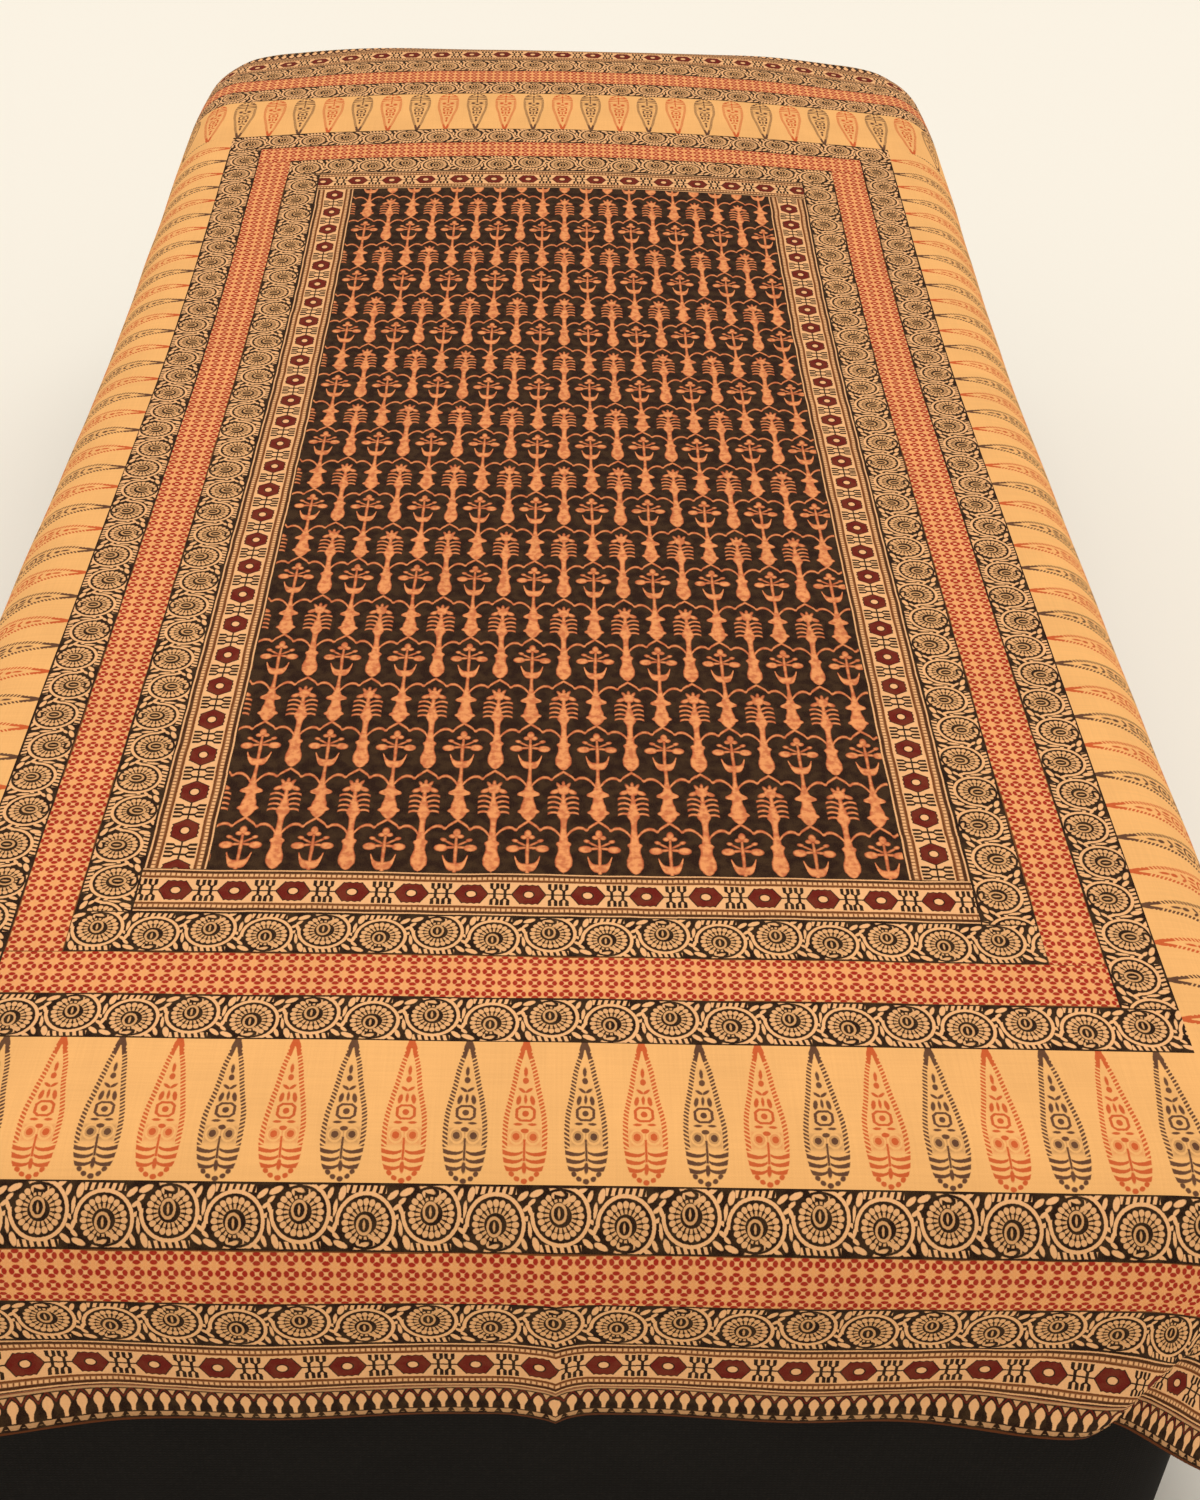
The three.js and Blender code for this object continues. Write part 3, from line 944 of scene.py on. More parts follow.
SCROLL_LEAVES = table(
    Oval,
    (-2.6, 17.4, 5.2, 1.7, -24), (4.2, 18.7, 3.6, 1.3, -32), (-15.6, 16.2, 4.6, 2.0, 24),
    (-18.6, 10.6, 3.0, 1.3, 42), (-19.4, 5.6, 1.35, 4.6, 22), (-19.6, -5.8, 1.3, 5.0, 8),
    (-15.6, -14.8, 2.1, 4.6, 16), (5.2, 12.6, 4.8, 1.4, 36), (13.4, 18.4, 3.8, 1.5, 32),
    (18.4, 14.6, 1.5, 3.8, -20), (20.2, -1.0, 3.0, 1.4, -25), (20.3, -7.4, 3.8, 1.4, -34),
    (17.2, -14.2, 4.2, 1.8, -40),
)


def scroll_group():
    """Petalled medallions in a running vine, cream on black, opening to either edge in turn."""
    group = pattern_group("Scroll band", ("Cream", "Black", "Tan"))
    along, inset = split(group.given("Place"))
    number, x = repeated(along, SCROLL_PITCH)
    flip = 1.0 - is_odd(number) * 2.0
    y = (SCROLL_MIDDLE - inset) * flip
    rise = y - MEDALLION_RISE
    place = point(x, rise)
    radius = vector_maths("LENGTH", place)
    turn = maths("ARCTAN2", x, rise)

    open_side = common(x - VINE_OPEN_FROM[0], VINE_OPEN_FROM[1] - rise)
    opening = common(stripe(x, PETAL_OPENING), PETAL_OPENING_RISE - rise)
    ring_gap = stripe(radius, RING_GAP)
    vine = common(stripe(radius, VINE), -open_side)
    _, petal_turn = repeated(turn * (PETAL_COUNT / FULL_TURN), 1.0)
    petal_along = petal_turn * (FULL_TURN * PETAL_RING / PETAL_COUNT)
    petal_place = point(petal_along, (radius - PETAL_RING) * PETAL_SQUASH)
    petals = common(vector_maths("LENGTH", petal_place) - PETAL_RADIUS, -opening)
    eye = oval(place, MEDALLION_EYE)
    seed = abs(petal_turn) * radius * (FULL_TURN / PETAL_COUNT) - SEED_HALF
    seeds = common(seed, stripe(radius, SEED_RING), EYE_GAP - eye)
    eye_ring = common(eye, -EYE_LINE - eye)
    slit = oval(place, EYE_SLIT)

    leaves = ovals(point(x, y), SCROLL_LEAVES)
    _, tooth = repeated(x + y * TOOTH_SLANT, TOOTH_PITCH)
    teeth = common(abs(tooth) - TOOTH_HALF, y + TEETH_BELOW, abs(x) - TEETH_HALF_WIDTH)
    outer = common(nearest(vine, leaves, teeth), -ring_gap)
    pale = nearest(petals, seeds, eye_ring, slit, outer)
    pale = common(pale, abs(y) - SCROLL_HALF)
    pale_ink = inside(pale, edge=0.45)
    heart = inside(radius - MEDALLION_RADIUS, edge=1.0)
    tan_share = heart * between(radius, 4.0, 13.0, low=0.55, high=0.2)
    light = coloured(group.given("Cream"), group.given("Tan"), tan_share)
    colour = coloured(group.given("Black"), light, pale_ink)
    return group.give(Colour=colour, Ink=1.0 - pale_ink)


LATTICE_START = 4.9
LATTICE_HALF = LATTICE_PITCH / 2
LATTICE_SEEDS = table(
    Oval,
    (2.4, 0.0, 1.7, 2.5, 0), (LATTICE_HALF, LATTICE_HALF - 2.3, 2.5, 1.65, 0),
)
CROSS_LINE = 0.55
CROSS_FROM = 1.6
CROSS_DOT = 1.5
LATTICE_EDGES = (0.7, 41.4)


def lattice_group():
    """Peach lattice: pairs of red seeds, side by side and stacked by turns, round pale crosses."""
    group = pattern_group("Lattice band", ("Peach", "Cream", "Red", "Black"))
    along, inset = split(group.given("Place"))
    _, x = repeated(along, LATTICE_PITCH)
    _, y = repeated(inset - LATTICE_START, LATTICE_PITCH)
    ax = abs(x)
    ay = abs(y)
    place = point(ax, ay)
    seeds = ovals(place, LATTICE_SEEDS)
    cross = common(abs(LATTICE_HALF - ax - ay) - CROSS_LINE, ax - LATTICE_HALF, CROSS_FROM - ax)
    pale = nearest(cross, distance_from(place, LATTICE_HALF, 0.0) - CROSS_DOT)
    edge_line = nearest(inset - LATTICE_EDGES[0], LATTICE_EDGES[1] - inset)
    pale_ink = inside(pale, edge=1.0) * 0.8
    red_ink = inside(seeds, edge=0.6)
    line_ink = inside(edge_line, edge=0.5)
    colour = painted(group, "Peach", ("Cream", pale_ink), ("Red", red_ink), ("Black", line_ink))
    return group.give(Colour=colour, Ink=maths("MAXIMUM", red_ink, line_ink))


ROSETTE_MIDDLE = 23.8
ROSETTE_HALF = 10.2
ROSETTE_SLOPE = (0.82, 0.5)
ROSETTE_POINT = 10.6
SCALLOP_PITCH = 5.0
SCALLOP_DEPTH = 0.4
ROSETTE_EYE = Oval(0.0, 0.0, 3.5, 3.3, 0)
ROSETTE_LINE = Stripe(0.0, 0.4)
ROSETTE_EYE_LINE = Stripe(0.5, 0.45)
FORK_PLACE = 17.8
FORK_HALF = 12.0
FORK_SPREAD = 2.3
BEAM_HALF_WIDTH = 0.7
BEAM_HALF_LENGTH = 12.0
BEAD_PITCH = 3.9
BEAD_HALF = 1.35
BEADS = Stripe(17.2, 1.45)
BEAD_ROW = Stripe(17.2, 2.2)
DARK_GUARD = Stripe(20.3, 1.3)
INNER_GUARD = Stripe(14.2, 1.1)
ROSETTE_BAND_HALF = 23.0


def rosettes_group():
    """Maroon rosettes with pairs of forked sprigs between them, in beaded guard lines."""
    group = pattern_group("Rosette band", ("Cream", "Maroon", "Black", "Brown"))
    along, inset = split(group.given("Place"))
    _, x = repeated(along, ROSETTE_PITCH)
    across = inset - ROSETTE_MIDDLE
    ax = abs(x)
    ay = abs(across)
    place = point(ax, ay)

    scallop = maths("COSINE", x * (FULL_TURN / SCALLOP_PITCH)) * SCALLOP_DEPTH
    slope_x, slope_y = ROSETTE_SLOPE
    rosette = common(ay - ROSETTE_HALF + scallop, ax * slope_x + ay * slope_y - ROSETTE_POINT)
    eye = oval(place, ROSETTE_EYE)
    outline = nearest(stripe(rosette, ROSETTE_LINE), stripe(eye, ROSETTE_EYE_LINE))
    maroon = common(rosette, -eye)

    fork = abs(ax - FORK_PLACE)
    prong_at = between(ay, 4.0, 6.5, low=0.0, high=FORK_SPREAD, soft=True)
    prong_half = between(ay, 3.0, 9.0, low=1.15, high=1.35)
    forks = common(abs(fork - prong_at) - prong_half, ay - FORK_HALF)
    joining = common(ay - BEAM_HALF_WIDTH, BEAM_HALF_LENGTH - ax)

    _, bead_x = repeated(along, BEAD_PITCH)
    beads = common(abs(bead_x) - BEAD_HALF, stripe(ay, BEADS))
    bead_row = common(stripe(ay, BEAD_ROW), -beads)
    dark_line = stripe(ay, DARK_GUARD)
    inner_line = stripe(ay, INNER_GUARD)
    outer_edge = ROSETTE_BAND_HALF - ay

    black_ink = inside(nearest(forks, outline, joining), edge=0.5)
    maroon_ink = inside(maroon, edge=0.5)
    guard_ink = inside(nearest(inner_line, dark_line), edge=0.7)
    brown_ink = maths("MAXIMUM", guard_ink, inside(bead_row, edge=0.9))
    dark_ink = inside(dark_line, edge=0.8) * 0.7
    edge_ink = inside(outer_edge, edge=0.6)
    colour = painted(
        group,
        "Cream",
        ("Brown", brown_ink),
        ("Black", dark_ink),
        ("Maroon", maroon_ink),
        ("Black", black_ink),
        ("Black", edge_ink),
    )
    ink = maths("MAXIMUM", maths("MAXIMUM", black_ink, maroon_ink), maths("MAXIMUM", brown_ink, edge_ink))
    return group.give(Colour=colour, Ink=ink)


CYPRESS_START = 1.0
CYPRESS_OUTLINE = (
    (0, 2.3), (4, 3.5), (12, 5.1), (22, 7.2), (37, 9.4), (52, 11.8), (67, 14.0), (80, 14.6), (92, 14.2),
    (100, 13.2), (106, 11.6), (111, 6.4), (115, -1.5),
)
CYPRESS_BUDS = table(
    Oval,
    (0.0, 26.0, 1.3, 4.2, 0), (0.0, 33.8, 2.0, 2.8, 0), (2.2, 42.2, 3.0, 1.25, -42),
    (0.0, 50.0, 1.1, 4.0, 0), (4.4, 51.0, 1.6, 4.2, -8), (0.0, 62.5, 2.2, 2.6, 0),
    (4.6, 71.6, 2.8, 1.2, 0), (0.0, 77.0, 2.6, 2.0, 0), (5.4, 82.0, 2.4, 3.1, 0),
    (0.0, 104.5, 1.5, 3.8, 0), (0.0, 113.0, 2.1, 1.8, 0), (4.7, 111.4, 1.9, 1.6, -30),
    (8.0, 108.4, 1.9, 1.6, -45),
)
HATCH_PITCH = 3.5
HATCH_SLANT = 0.7
HATCH_WIDTH = 3.6
HATCH_SAW = (0.9, 0.6)
NOTCH_HALF = 0.72
HATCH_FROM = 14.0
HATCH_UNTIL = 91.0
TIP_UNTIL = 6.0
CYPRESS_SHRINE = Stripe(62.5, 5.8)
SHRINE_HALF_WIDTH = 5.6
SHRINE_CORNER = (0.72, 6.4)
SHRINE_LINE = 1.0
CYPRESS_EYE = Oval(5.2, 82.0, 4.3, 5.6, 0)
CYPRESS_EYE_LINE = Stripe(0.0, 0.6)
CYPRESS_STEM = Stripe(92.0, 8.0)
CYPRESS_STEM_HALF = 0.8
BOWL_START = 92.6
BOWL_PITCH = 5.2
BOWL_SAG = (4.2, 0.25, 0.016)
BOWLS = Stripe(97.8, 7.4)
BOWLS_INSIDE = 0.2
BOWLS_FROM = 0.9
CYPRESS_FILL = Stripe(82.5, 6.5)
CYPRESS_FILL_INSIDE = 4.4
CYPRESS_BODY_INSIDE = 4.5
CYPRESS_BODY_FROM = 22.0


def cypress_group():
    """Leaf shaped trees on the plain ground, in red and in dark brown by turns."""
    group = pattern_group("Cypress band", ("Ground", "Red", "Dark"))
    along, inset = split(group.given("Place"))
    number, x = repeated(along, CYPRESS_PITCH)
    i = inset - CYPRESS_START
    ax = abs(x)
    place = point(ax, i)
    edge = ax - profile(i, CYPRESS_OUTLINE)

    _, hatch = repeated(i + ax * HATCH_SLANT, HATCH_PITCH)
    saw = HATCH_SAW[0] - abs(hatch) * HATCH_SAW[1]
    border = common(edge + saw, -HATCH_WIDTH - edge, i - HATCH_UNTIL)
    notch = common(abs(hatch) - NOTCH_HALF, HATCH_FROM - i)
    border = common(border, -notch)
    tip = common(edge, i - TIP_UNTIL)
    corner = (ax + abs(i - CYPRESS_SHRINE.middle)) * SHRINE_CORNER[0] - SHRINE_CORNER[1]
    shrine = common(ax - SHRINE_HALF_WIDTH, stripe(i, CYPRESS_SHRINE), corner)
    shrine_line = abs(shrine) - SHRINE_LINE
    pale_ring = inside(stripe(oval(place, CYPRESS_EYE), CYPRESS_EYE_LINE), edge=0.5)
    stem = common(ax - CYPRESS_STEM_HALF, stripe(i, CYPRESS_STEM))
    sag, falling, flattening = BOWL_SAG
    bowl_sag = (1.0 - maths("EXPONENT", ax * -falling)) * sag - ax * ax * flattening
    _, bowl = repeated(i - BOWL_START - bowl_sag, BOWL_PITCH)
    bowl_half = between(ax, 1.0, 12.0, low=0.85, high=1.65)
    bowls = common(abs(bowl) - bowl_half, stripe(i - bowl_sag, BOWLS), edge + BOWLS_INSIDE, BOWLS_FROM - ax)
    buds = ovals(place, CYPRESS_BUDS)

    ink = inside(nearest(border, tip, shrine_line, stem, bowls, buds), edge=0.6)
    body = common(edge + CYPRESS_BODY_INSIDE, i - HATCH_UNTIL, CYPRESS_BODY_FROM - i)
    fill = common(edge + CYPRESS_FILL_INSIDE, stripe(i, CYPRESS_FILL))
    filled = inside(fill, edge=3.6) * 0.4 * (1.0 - pale_ring)
    tint = maths("MAXIMUM", filled, inside(body, edge=2.4) * 0.06)
    dye = coloured(group.given("Red"), group.given("Dark"), is_odd(number))
    colour = coloured(group.given("Ground"), dye, maths("MAXIMUM", ink * 0.94, tint))
    return group.give(Colour=colour, Ink=ink)


CONE_OUTLINE = (
    (5.8, -1.0), (8.5, 1.7), (11.5, 3.1), (14, 3.5), (16.5, 3.0), (19, 1.9), (21.5, 1.4), (26, 1.2),
)
CONE_UNTIL = 25.4
PEAK_TOP = 3.0
PEAK_SLOPE = 1.6
ROOF_HALF = 1.2
ROOF_UNTIL = 12.5
WEDGE_FROM = 4.2
WEDGE_UNTIL = 9.4
WEDGE_HALF = (5.5, 9.8, 0.42)
CUP = Stripe(28.3, 1.7)
CUP_HALF = (4.4, 26.6, 0.6)
TOP_BAND = 3.0
TOP_BAND_INK = 3.2
TOP_LINE = Stripe(0.5, 0.6)
HEM_FROM = 31.0
HEM_UNTIL = 31.8


def cones_group():
    """A row of pointed cones under dark arches on black, small cups below, and the turned hem."""
    group = pattern_group("Cone band", ("Cream", "Black", "Brown", "Maroon"))
    along, i = split(group.given("Place"))
    _, x = repeated(along, CONE_PITCH)
    ax = abs(x)
    cone = common(ax - profile(i, CONE_OUTLINE), i - CONE_UNTIL)
    peak = i - PEAK_TOP - ax * PEAK_SLOPE
    roof = common(abs(peak) - ROOF_HALF, i - ROOF_UNTIL)
    wedge_half, wedge_end, wedge_slope = WEDGE_HALF
    wedge_side = (wedge_half - ax) - (wedge_end - i) * wedge_slope
    wedge = common(i - WEDGE_UNTIL, WEDGE_FROM - i, wedge_side)
    cup_half, cup_top, cup_slope = CUP_HALF
    cup = common(stripe(i, CUP), ax - cup_half + (i - cup_top) * cup_slope)
    cone_ink = inside(cone, edge=0.6)
    top_ink = inside(common(i - TOP_BAND_INK, -peak), edge=0.7)
    hem = between(i, HEM_FROM, HEM_UNTIL)
    colour = painted(
        group,
        "Black",
        ("Cream", cone_ink),
        ("Maroon", inside(roof, edge=0.8) * 0.75),
        ("Cream", inside(wedge, edge=0.6) * 0.8),
        ("Cream", inside(cup, edge=0.6) * 0.6),
        ("Cream", inside(i - TOP_BAND, edge=0.7) * 0.62),
        ("Maroon", inside(stripe(i, TOP_LINE), edge=0.7) * 0.8),
        ("Brown", hem * 0.75),
    )
    dark = 1.0 - maths("MAXIMUM", maths("MAXIMUM", cone_ink, top_ink * 0.5), hem)
    return group.give(Colour=colour, Ink=dark)


FIELD_COLUMN = 55.2
FIELD_ROW = 64.25
FIELD_HALF_COLUMN = FIELD_COLUMN / 2
FIELD_FIRST_ROW = -676.0
FIELD_FIRST_COLUMN = -24.0
ARCH_LINE = (
    (0.0, -2.0), (3.5, 5.0), (6.0, 9.0), (9.0, 12.0), (12.0, 13.2), (15.0, 12.6), (17.9, 10.4),
    (20.0, 13.4), (23.0, 16.6), (27.6, 21.0),
)
ARCH_STEEPNESS = 0.75
SHRUB_STEM = (
    (-2, 3.0), (5, 2.3), (12, 1.5), (22, 1.3), (27, 2.0), (34, 1.2), (54, 1.4), (60, 0.9), (66, 1.3),
)
BOAT_KEEL = (24.2, 0.0019)
BOAT_RIM = (33.4, 0.0014)
BOAT_TOP = 42.6
BOAT_STEEPNESS = 0.7
SHRUB_SHAPES = table(
    Oval,
    (11.2, 51.5, 5.1, 4.2, 0), (4.6, 52.2, 4.6, 1.5, -6), (5.2, 57.6, 5.4, 1.1, 36),
    (9.8, 61.2, 2.5, 1.9, 30), (0.0, 69.6, 2.8, 5.0, 0), (3.0, 65.6, 2.6, 2.5, 0),
)
SHRUB_HEAD_BEHIND = table(
    Oval,
    (27.6, 5.35, 2.8, 5.0, 0), (24.6, 1.35, 2.6, 2.5, 0),
)
PALMETTE_FLOWER = table(
    Oval,
    (0.0, 61.5, 5.0, 6.4, 0), (6.6, 59.0, 4.2, 2.5, -34), (3.6, 66.4, 1.5, 4.2, -24),
    (0.0, 69.2, 1.3, 3.2, 0),
)
FLOWER_BEHIND = table(
    Oval,
    (27.6, -2.75, 5.0, 6.4, 0), (24.0, 2.15, 1.5, 4.2, 24), (27.6, 4.95, 1.3, 3.2, 0),
)
PALMETTE_BODY = (
    (-2, 3.4), (5, 2.8), (12, 2.2), (20, 2.4), (27, 4.4), (31, 5.2), (36, 3.6), (40, 3.3), (45, 2.2),
    (50, 1.6), (66, 1.4),
)
LEAF_RISE = (1.3, 0.085)
LEAF_START = 27.5
LEAF_PITCH = 6.6
LEAF_REACH = 12.2
LEAVES = Stripe(37.4, 11.8)
# Bulbs that hang under the next row's junctions, by how far below it they are
UNDER_PALMETTE = (
    (0, 3.1), (3, 3.4), (6.7, 5.7), (10, 4.5), (14, 4.3), (20, 5.3), (27, 6.5), (32, 6.3), (36, 4.6),
    (39.5, 2.6), (41.5, -1.5),
)
UNDER_SHRUB = (
    (0, 3.0), (3, 3.6), (6, 6.4), (9.5, 8.8), (11.5, 7.0), (13.5, 3.9), (18, 4.3), (24, 5.8), (28, 6.2),
    (31.5, 8.6), (34, 6.4), (37, 5.2), (41, 2.8), (44.5, -1.5),
)


def field_group():
    """Shrubs and palmettes by rows, in a trellis of cusped arches on near black."""
    group = pattern_group("Field", ("Black", "Tan", "Red"))
    u, v = split(group.given("Place"))
    v = v - between(v, -690.0, -380.0, low=7.0, high=0.0, soft=True)
    row_place = (v - FIELD_FIRST_ROW) / FIELD_ROW
    row = maths("FLOOR", row_place)
    y = (row_place - row) * FIELD_ROW
    odd = is_odd(row)
    _, x = repeated(u - FIELD_FIRST_COLUMN - odd * FIELD_HALF_COLUMN, FIELD_COLUMN)
    ax = abs(x)
    place = point(ax, y)
    from_bulb = FIELD_HALF_COLUMN - ax
    below = FIELD_ROW - y

    arch_half = between(ax, 0.0, 6.0, low=2.4, high=1.75)
    arch = (abs(y - profile(ax, ARCH_LINE)) - arch_half) * ARCH_STEEPNESS

    curve = ax * ax
    steep = curve * curve
    keel = BOAT_KEEL[0] - y + steep * BOAT_KEEL[1]
    rim = y - BOAT_RIM[0] - steep * BOAT_RIM[1]
    boat = common(keel, rim, y - BOAT_TOP) * BOAT_STEEPNESS
    shrub = nearest(ax - profile(y, SHRUB_STEM), boat, ovals(place, SHRUB_SHAPES))
    bulb_of_palmette = from_bulb - profile(below, UNDER_PALMETTE)
    shrub_row = nearest(shrub, bulb_of_palmette, ovals(place, FLOWER_BEHIND))

    body = ax - profile(y, PALMETTE_BODY)
    leaf_rise = ax * LEAF_RISE[0] - curve * LEAF_RISE[1]
    _, leaf = repeated(y - LEAF_START - leaf_rise, LEAF_PITCH)
    leaf_half = between(ax, 2.0, 12.0, low=1.5, high=1.3)
    leaves = common(abs(leaf) - leaf_half, ax - LEAF_REACH, stripe(y - leaf_rise, LEAVES))
    bulb_of_shrub = from_bulb - profile(below, UNDER_SHRUB)
    behind = ovals(place, SHRUB_HEAD_BEHIND)
    palmette_row = nearest(body, leaves, bulb_of_shrub, behind, ovals(place, PALMETTE_FLOWER))

    plants = nearest(mixed(shrub_row, palmette_row, odd), arch)
    ink = inside(plants, edge=0.9)
    heart = between(plants, -0.2, -1.5, soft=True)
    blotch = noise(group.given("Place"), 0.16, detail=2.0)
    blotch_share = between(blotch, 0.34, 0.58, low=0.45, high=1.0)
    plant_colour = coloured(group.given("Red"), group.given("Tan"), (heart * 0.55 + 0.45) * blotch_share)
    colour = coloured(group.given("Black"), plant_colour, ink)
    return group.give(Colour=colour, Ink=1.0 - ink)


WARP_SLUBS = (620.0, 14.0, 0.0)
WEFT_SLUBS = (14.0, 620.0, 0.0)


def cotton_group():
    """Plain woven cotton: its threads, slubs and slight unevenness, from the flat cloth's place."""
    inputs = {"Place": VECTOR, "Thread pitch": 0.0009}
    group = NodeGroup("Woven cotton", inputs, {"Shade": FLOAT, "Height": FLOAT})
    place = group.given("Place")
    thread = vector_maths("SCALE", place, Scale=math.pi / group.given("Thread pitch"))
    across, along = split(thread)
    weave = maths("SINE", across) * maths("SINE", along)
    warp_slubs = noise(vector_maths("MULTIPLY", place, WARP_SLUBS), 1.0, detail=2.0)
    weft_slubs = noise(vector_maths("MULTIPLY", place, WEFT_SLUBS), 1.0, detail=2.0)
    cloudy = noise(place, 14.0, detail=3.0)
    slubs = warp_slubs + weft_slubs
    thread_shade = between(slubs, 0.6, 1.4, low=0.955, high=1.045)
    shade = thread_shade * between(cloudy, 0.3, 0.7, low=0.965, high=1.035)
    height = weave * 0.3 + slubs
    return group.give(Shade=shade, Height=height)


def dyed_cotton_group():
    """Prints a pattern on the cloth: uneven dye, paler on the underside."""
    inputs = {"Colour": COLOUR, "Cloth": COLOUR, "Ink": 0.0, "Place": VECTOR, "Shade": 1.0, "Strength": 1.0}
    group = NodeGroup("Dyed cotton", inputs, {"Colour": COLOUR, "Roughness": FLOAT})
    place = group.given("Place")
    blotch = noise(place, 90.0, detail=3.0)
    grain = noise(place, 1100.0)
    worn = between(blotch, 0.36, 0.62, low=0.965, high=1.0) * between(grain, 0.3, 0.7, low=0.97, high=1.0)
    cover = mixed(1.0, worn, group.given("Ink")) * group.given("Strength")
    colour = coloured(group.given("Cloth"), group.given("Colour"), cover)
    shaded = vector_maths("SCALE", colour, Scale=group.given("Shade"))
    roughness = between(group.given("Ink"), 0.0, 1.0, low=0.82, high=0.9)
    return group.give(Colour=shaded, Roughness=roughness)


def cover_group():
    """The black cover's weave and lint, on surfaces that face any way."""
    inputs = {"Place": VECTOR, "Thread pitch": 0.0016}
    group = NodeGroup("Black cover weave", inputs, {"Lint": FLOAT, "Height": FLOAT})
    place = group.given("Place")
    thread = vector_maths("SCALE", place, Scale=math.pi / group.given("Thread pitch"))
    waves = vector_maths("SINE", thread)
    node = new_node("ShaderNodeSeparateXYZ", {"Vector": waves})
    x, y, z = (Term(output) for output in node.outputs)
    weave = x * y + y * z + x * z
    fuzz = noise(place, 420.0, detail=3.0, dimensions="3D")
    cloudy = noise(place, 9.0, detail=3.0, dimensions="3D")
    lint = between(fuzz, 0.5, 0.85, low=0.0, high=0.5) + between(cloudy, 0.3, 0.7, low=0.0, high=0.25)
    return group.give(Lint=lint, Height=weave * 0.5 + fuzz)


def placed_group(tree, group, **inputs):
    """Places a shader node group in a material and plugs its inputs in."""
    node = tree.nodes.new("ShaderNodeGroup")
    node.node_tree = group
    for name, part in inputs.items():
        socket = node.inputs[name.replace("_", " ")]
        if isinstance(part, Term):
            tree.links.new(part.socket, socket)
        else:
            socket.default_value = part
    return {output.name: Term(output) for output in node.outputs}


def start_material(name, **constants):
    """A new material, with fixed values on its shader's sockets."""
    material = bpy.data.materials.new(name)
    material.use_nodes = True
    tree = material.node_tree
    shader = tree.nodes["Principled BSDF"]
    for socket, value in constants.items():
        shader.inputs[socket.replace("_", " ")].default_value = value
    return material, tree, shader


def uv_place(tree, name):
    node = tree.nodes.new("ShaderNodeUVMap")
    node.uv_map = name
    return Term(node.outputs["UV"])


def object_place(tree):
    return Term(tree.nodes.new("ShaderNodeTexCoord").outputs["Object"])


Bump = namedtuple("Bump", "distance strength")
COTTON_BUMP = Bump(0.00012, 0.6)
COVER_BUMP = Bump(0.0002, 0.7)


def bump_shader(tree, shader, height, bump):
    inputs = {"Height": height, "Distance": bump.distance, "Strength": bump.strength}
    tree.links.new(term("ShaderNodeBump", inputs).socket, shader.inputs["Normal"])


PrintKind = namedtuple("PrintKind", "kind make colours block_length slip")
GUARD_DYES = {"Cream": "cream", "Maroon": "maroon", "Black": "black", "Brown": "brown"}
FIELD_DYES = {"Black": "field_black", "Tan": "plant_tan", "Red": "plant_red"}
SCROLL_DYES = {"Cream": "cream", "Black": "black", "Tan": "tan"}
LATTICE_DYES = {"Peach": "peach", "Cream": "cream", "Red": "red", "Black": "brown"}
CYPRESS_DYES = {"Ground": "ground", "Red": "tree_red", "Dark": "tree_dark"}
PRINTS = (
    PrintKind("field", field_group, FIELD_DYES, 220.8, 0.9),
    PrintKind("rosettes", rosettes_group, GUARD_DYES, 132.0, 0.8),
    PrintKind("scroll", scroll_group, SCROLL_DYES, 124.2, 0.8),
    PrintKind("lattice", lattice_group, LATTICE_DYES, 120.0, 1.2),
    PrintKind("cypress", cypress_group, CYPRESS_DYES, 39.4, 0.9),
    PrintKind("cones", cones_group, GUARD_DYES, 110.0, 0.6),
)


def printed_material(row, groups, paints):
    """The cotton of one kind of band, with its pattern printed on it."""
    material, tree, shader = start_material(f"printed_cotton_{row.kind}", Specular_IOR_Level=0.1)
    cloth_place = uv_place(tree, "Cloth")
    strength = tree.nodes.new("ShaderNodeAttribute")
    strength.attribute_name = "Dye strength"
    blocks = placed_group(
        tree, groups["blocks"], Place=uv_place(tree, "Print"), Block_length=row.block_length, Slip=row.slip
    )
    dyes = {name: solid(getattr(paints, paint)) for name, paint in row.colours.items()}
    drawn = placed_group(tree, row.make(), Place=blocks["Place"], **dyes)
    woven = placed_group(tree, groups["cotton"], Place=cloth_place)
    dyed = placed_group(
        tree,
        groups["dyed"],
        Colour=drawn["Colour"],
        Cloth=solid(paints.underside),
        Ink=drawn["Ink"],
        Place=cloth_place,
        Shade=woven["Shade"],
        Strength=Term(strength.outputs["Fac"]),
    )
    tree.links.new(dyed["Colour"].socket, shader.inputs["Base Color"])
    tree.links.new(dyed["Roughness"].socket, shader.inputs["Roughness"])
    bump_shader(tree, shader, woven["Height"], COTTON_BUMP)
    arrange(tree)
    return material


def cover_material(name, settings):
    material, tree, shader = start_material(name, Roughness=0.92, Specular_IOR_Level=0.12)
    woven = placed_group(tree, cover_group(), Place=object_place(tree))
    colour = coloured(solid(settings.colour), solid(settings.lint), woven["Lint"])
    tree.links.new(colour.socket, shader.inputs["Base Color"])
    bump_shader(tree, shader, woven["Height"], COVER_BUMP)
    arrange(tree)
    return material


def thread_material(colour):
    material, tree, shader = start_material("hem_thread", Roughness=0.75)
    twist = noise(object_place(tree), 900.0, detail=2.0, dimensions="3D")
    dark = tuple(0.7 * part for part in colour)
    tree.links.new(coloured(solid(dark), solid(colour), twist).socket, shader.inputs["Base Color"])
    arrange(tree)
    return material


def link_object(name, data):
    obj = bpy.data.objects.new(name, data)
    bpy.context.scene.collection.objects.link(obj)
    return obj


STITCH_SEGMENTS = 6
STITCH_RINGS = 4


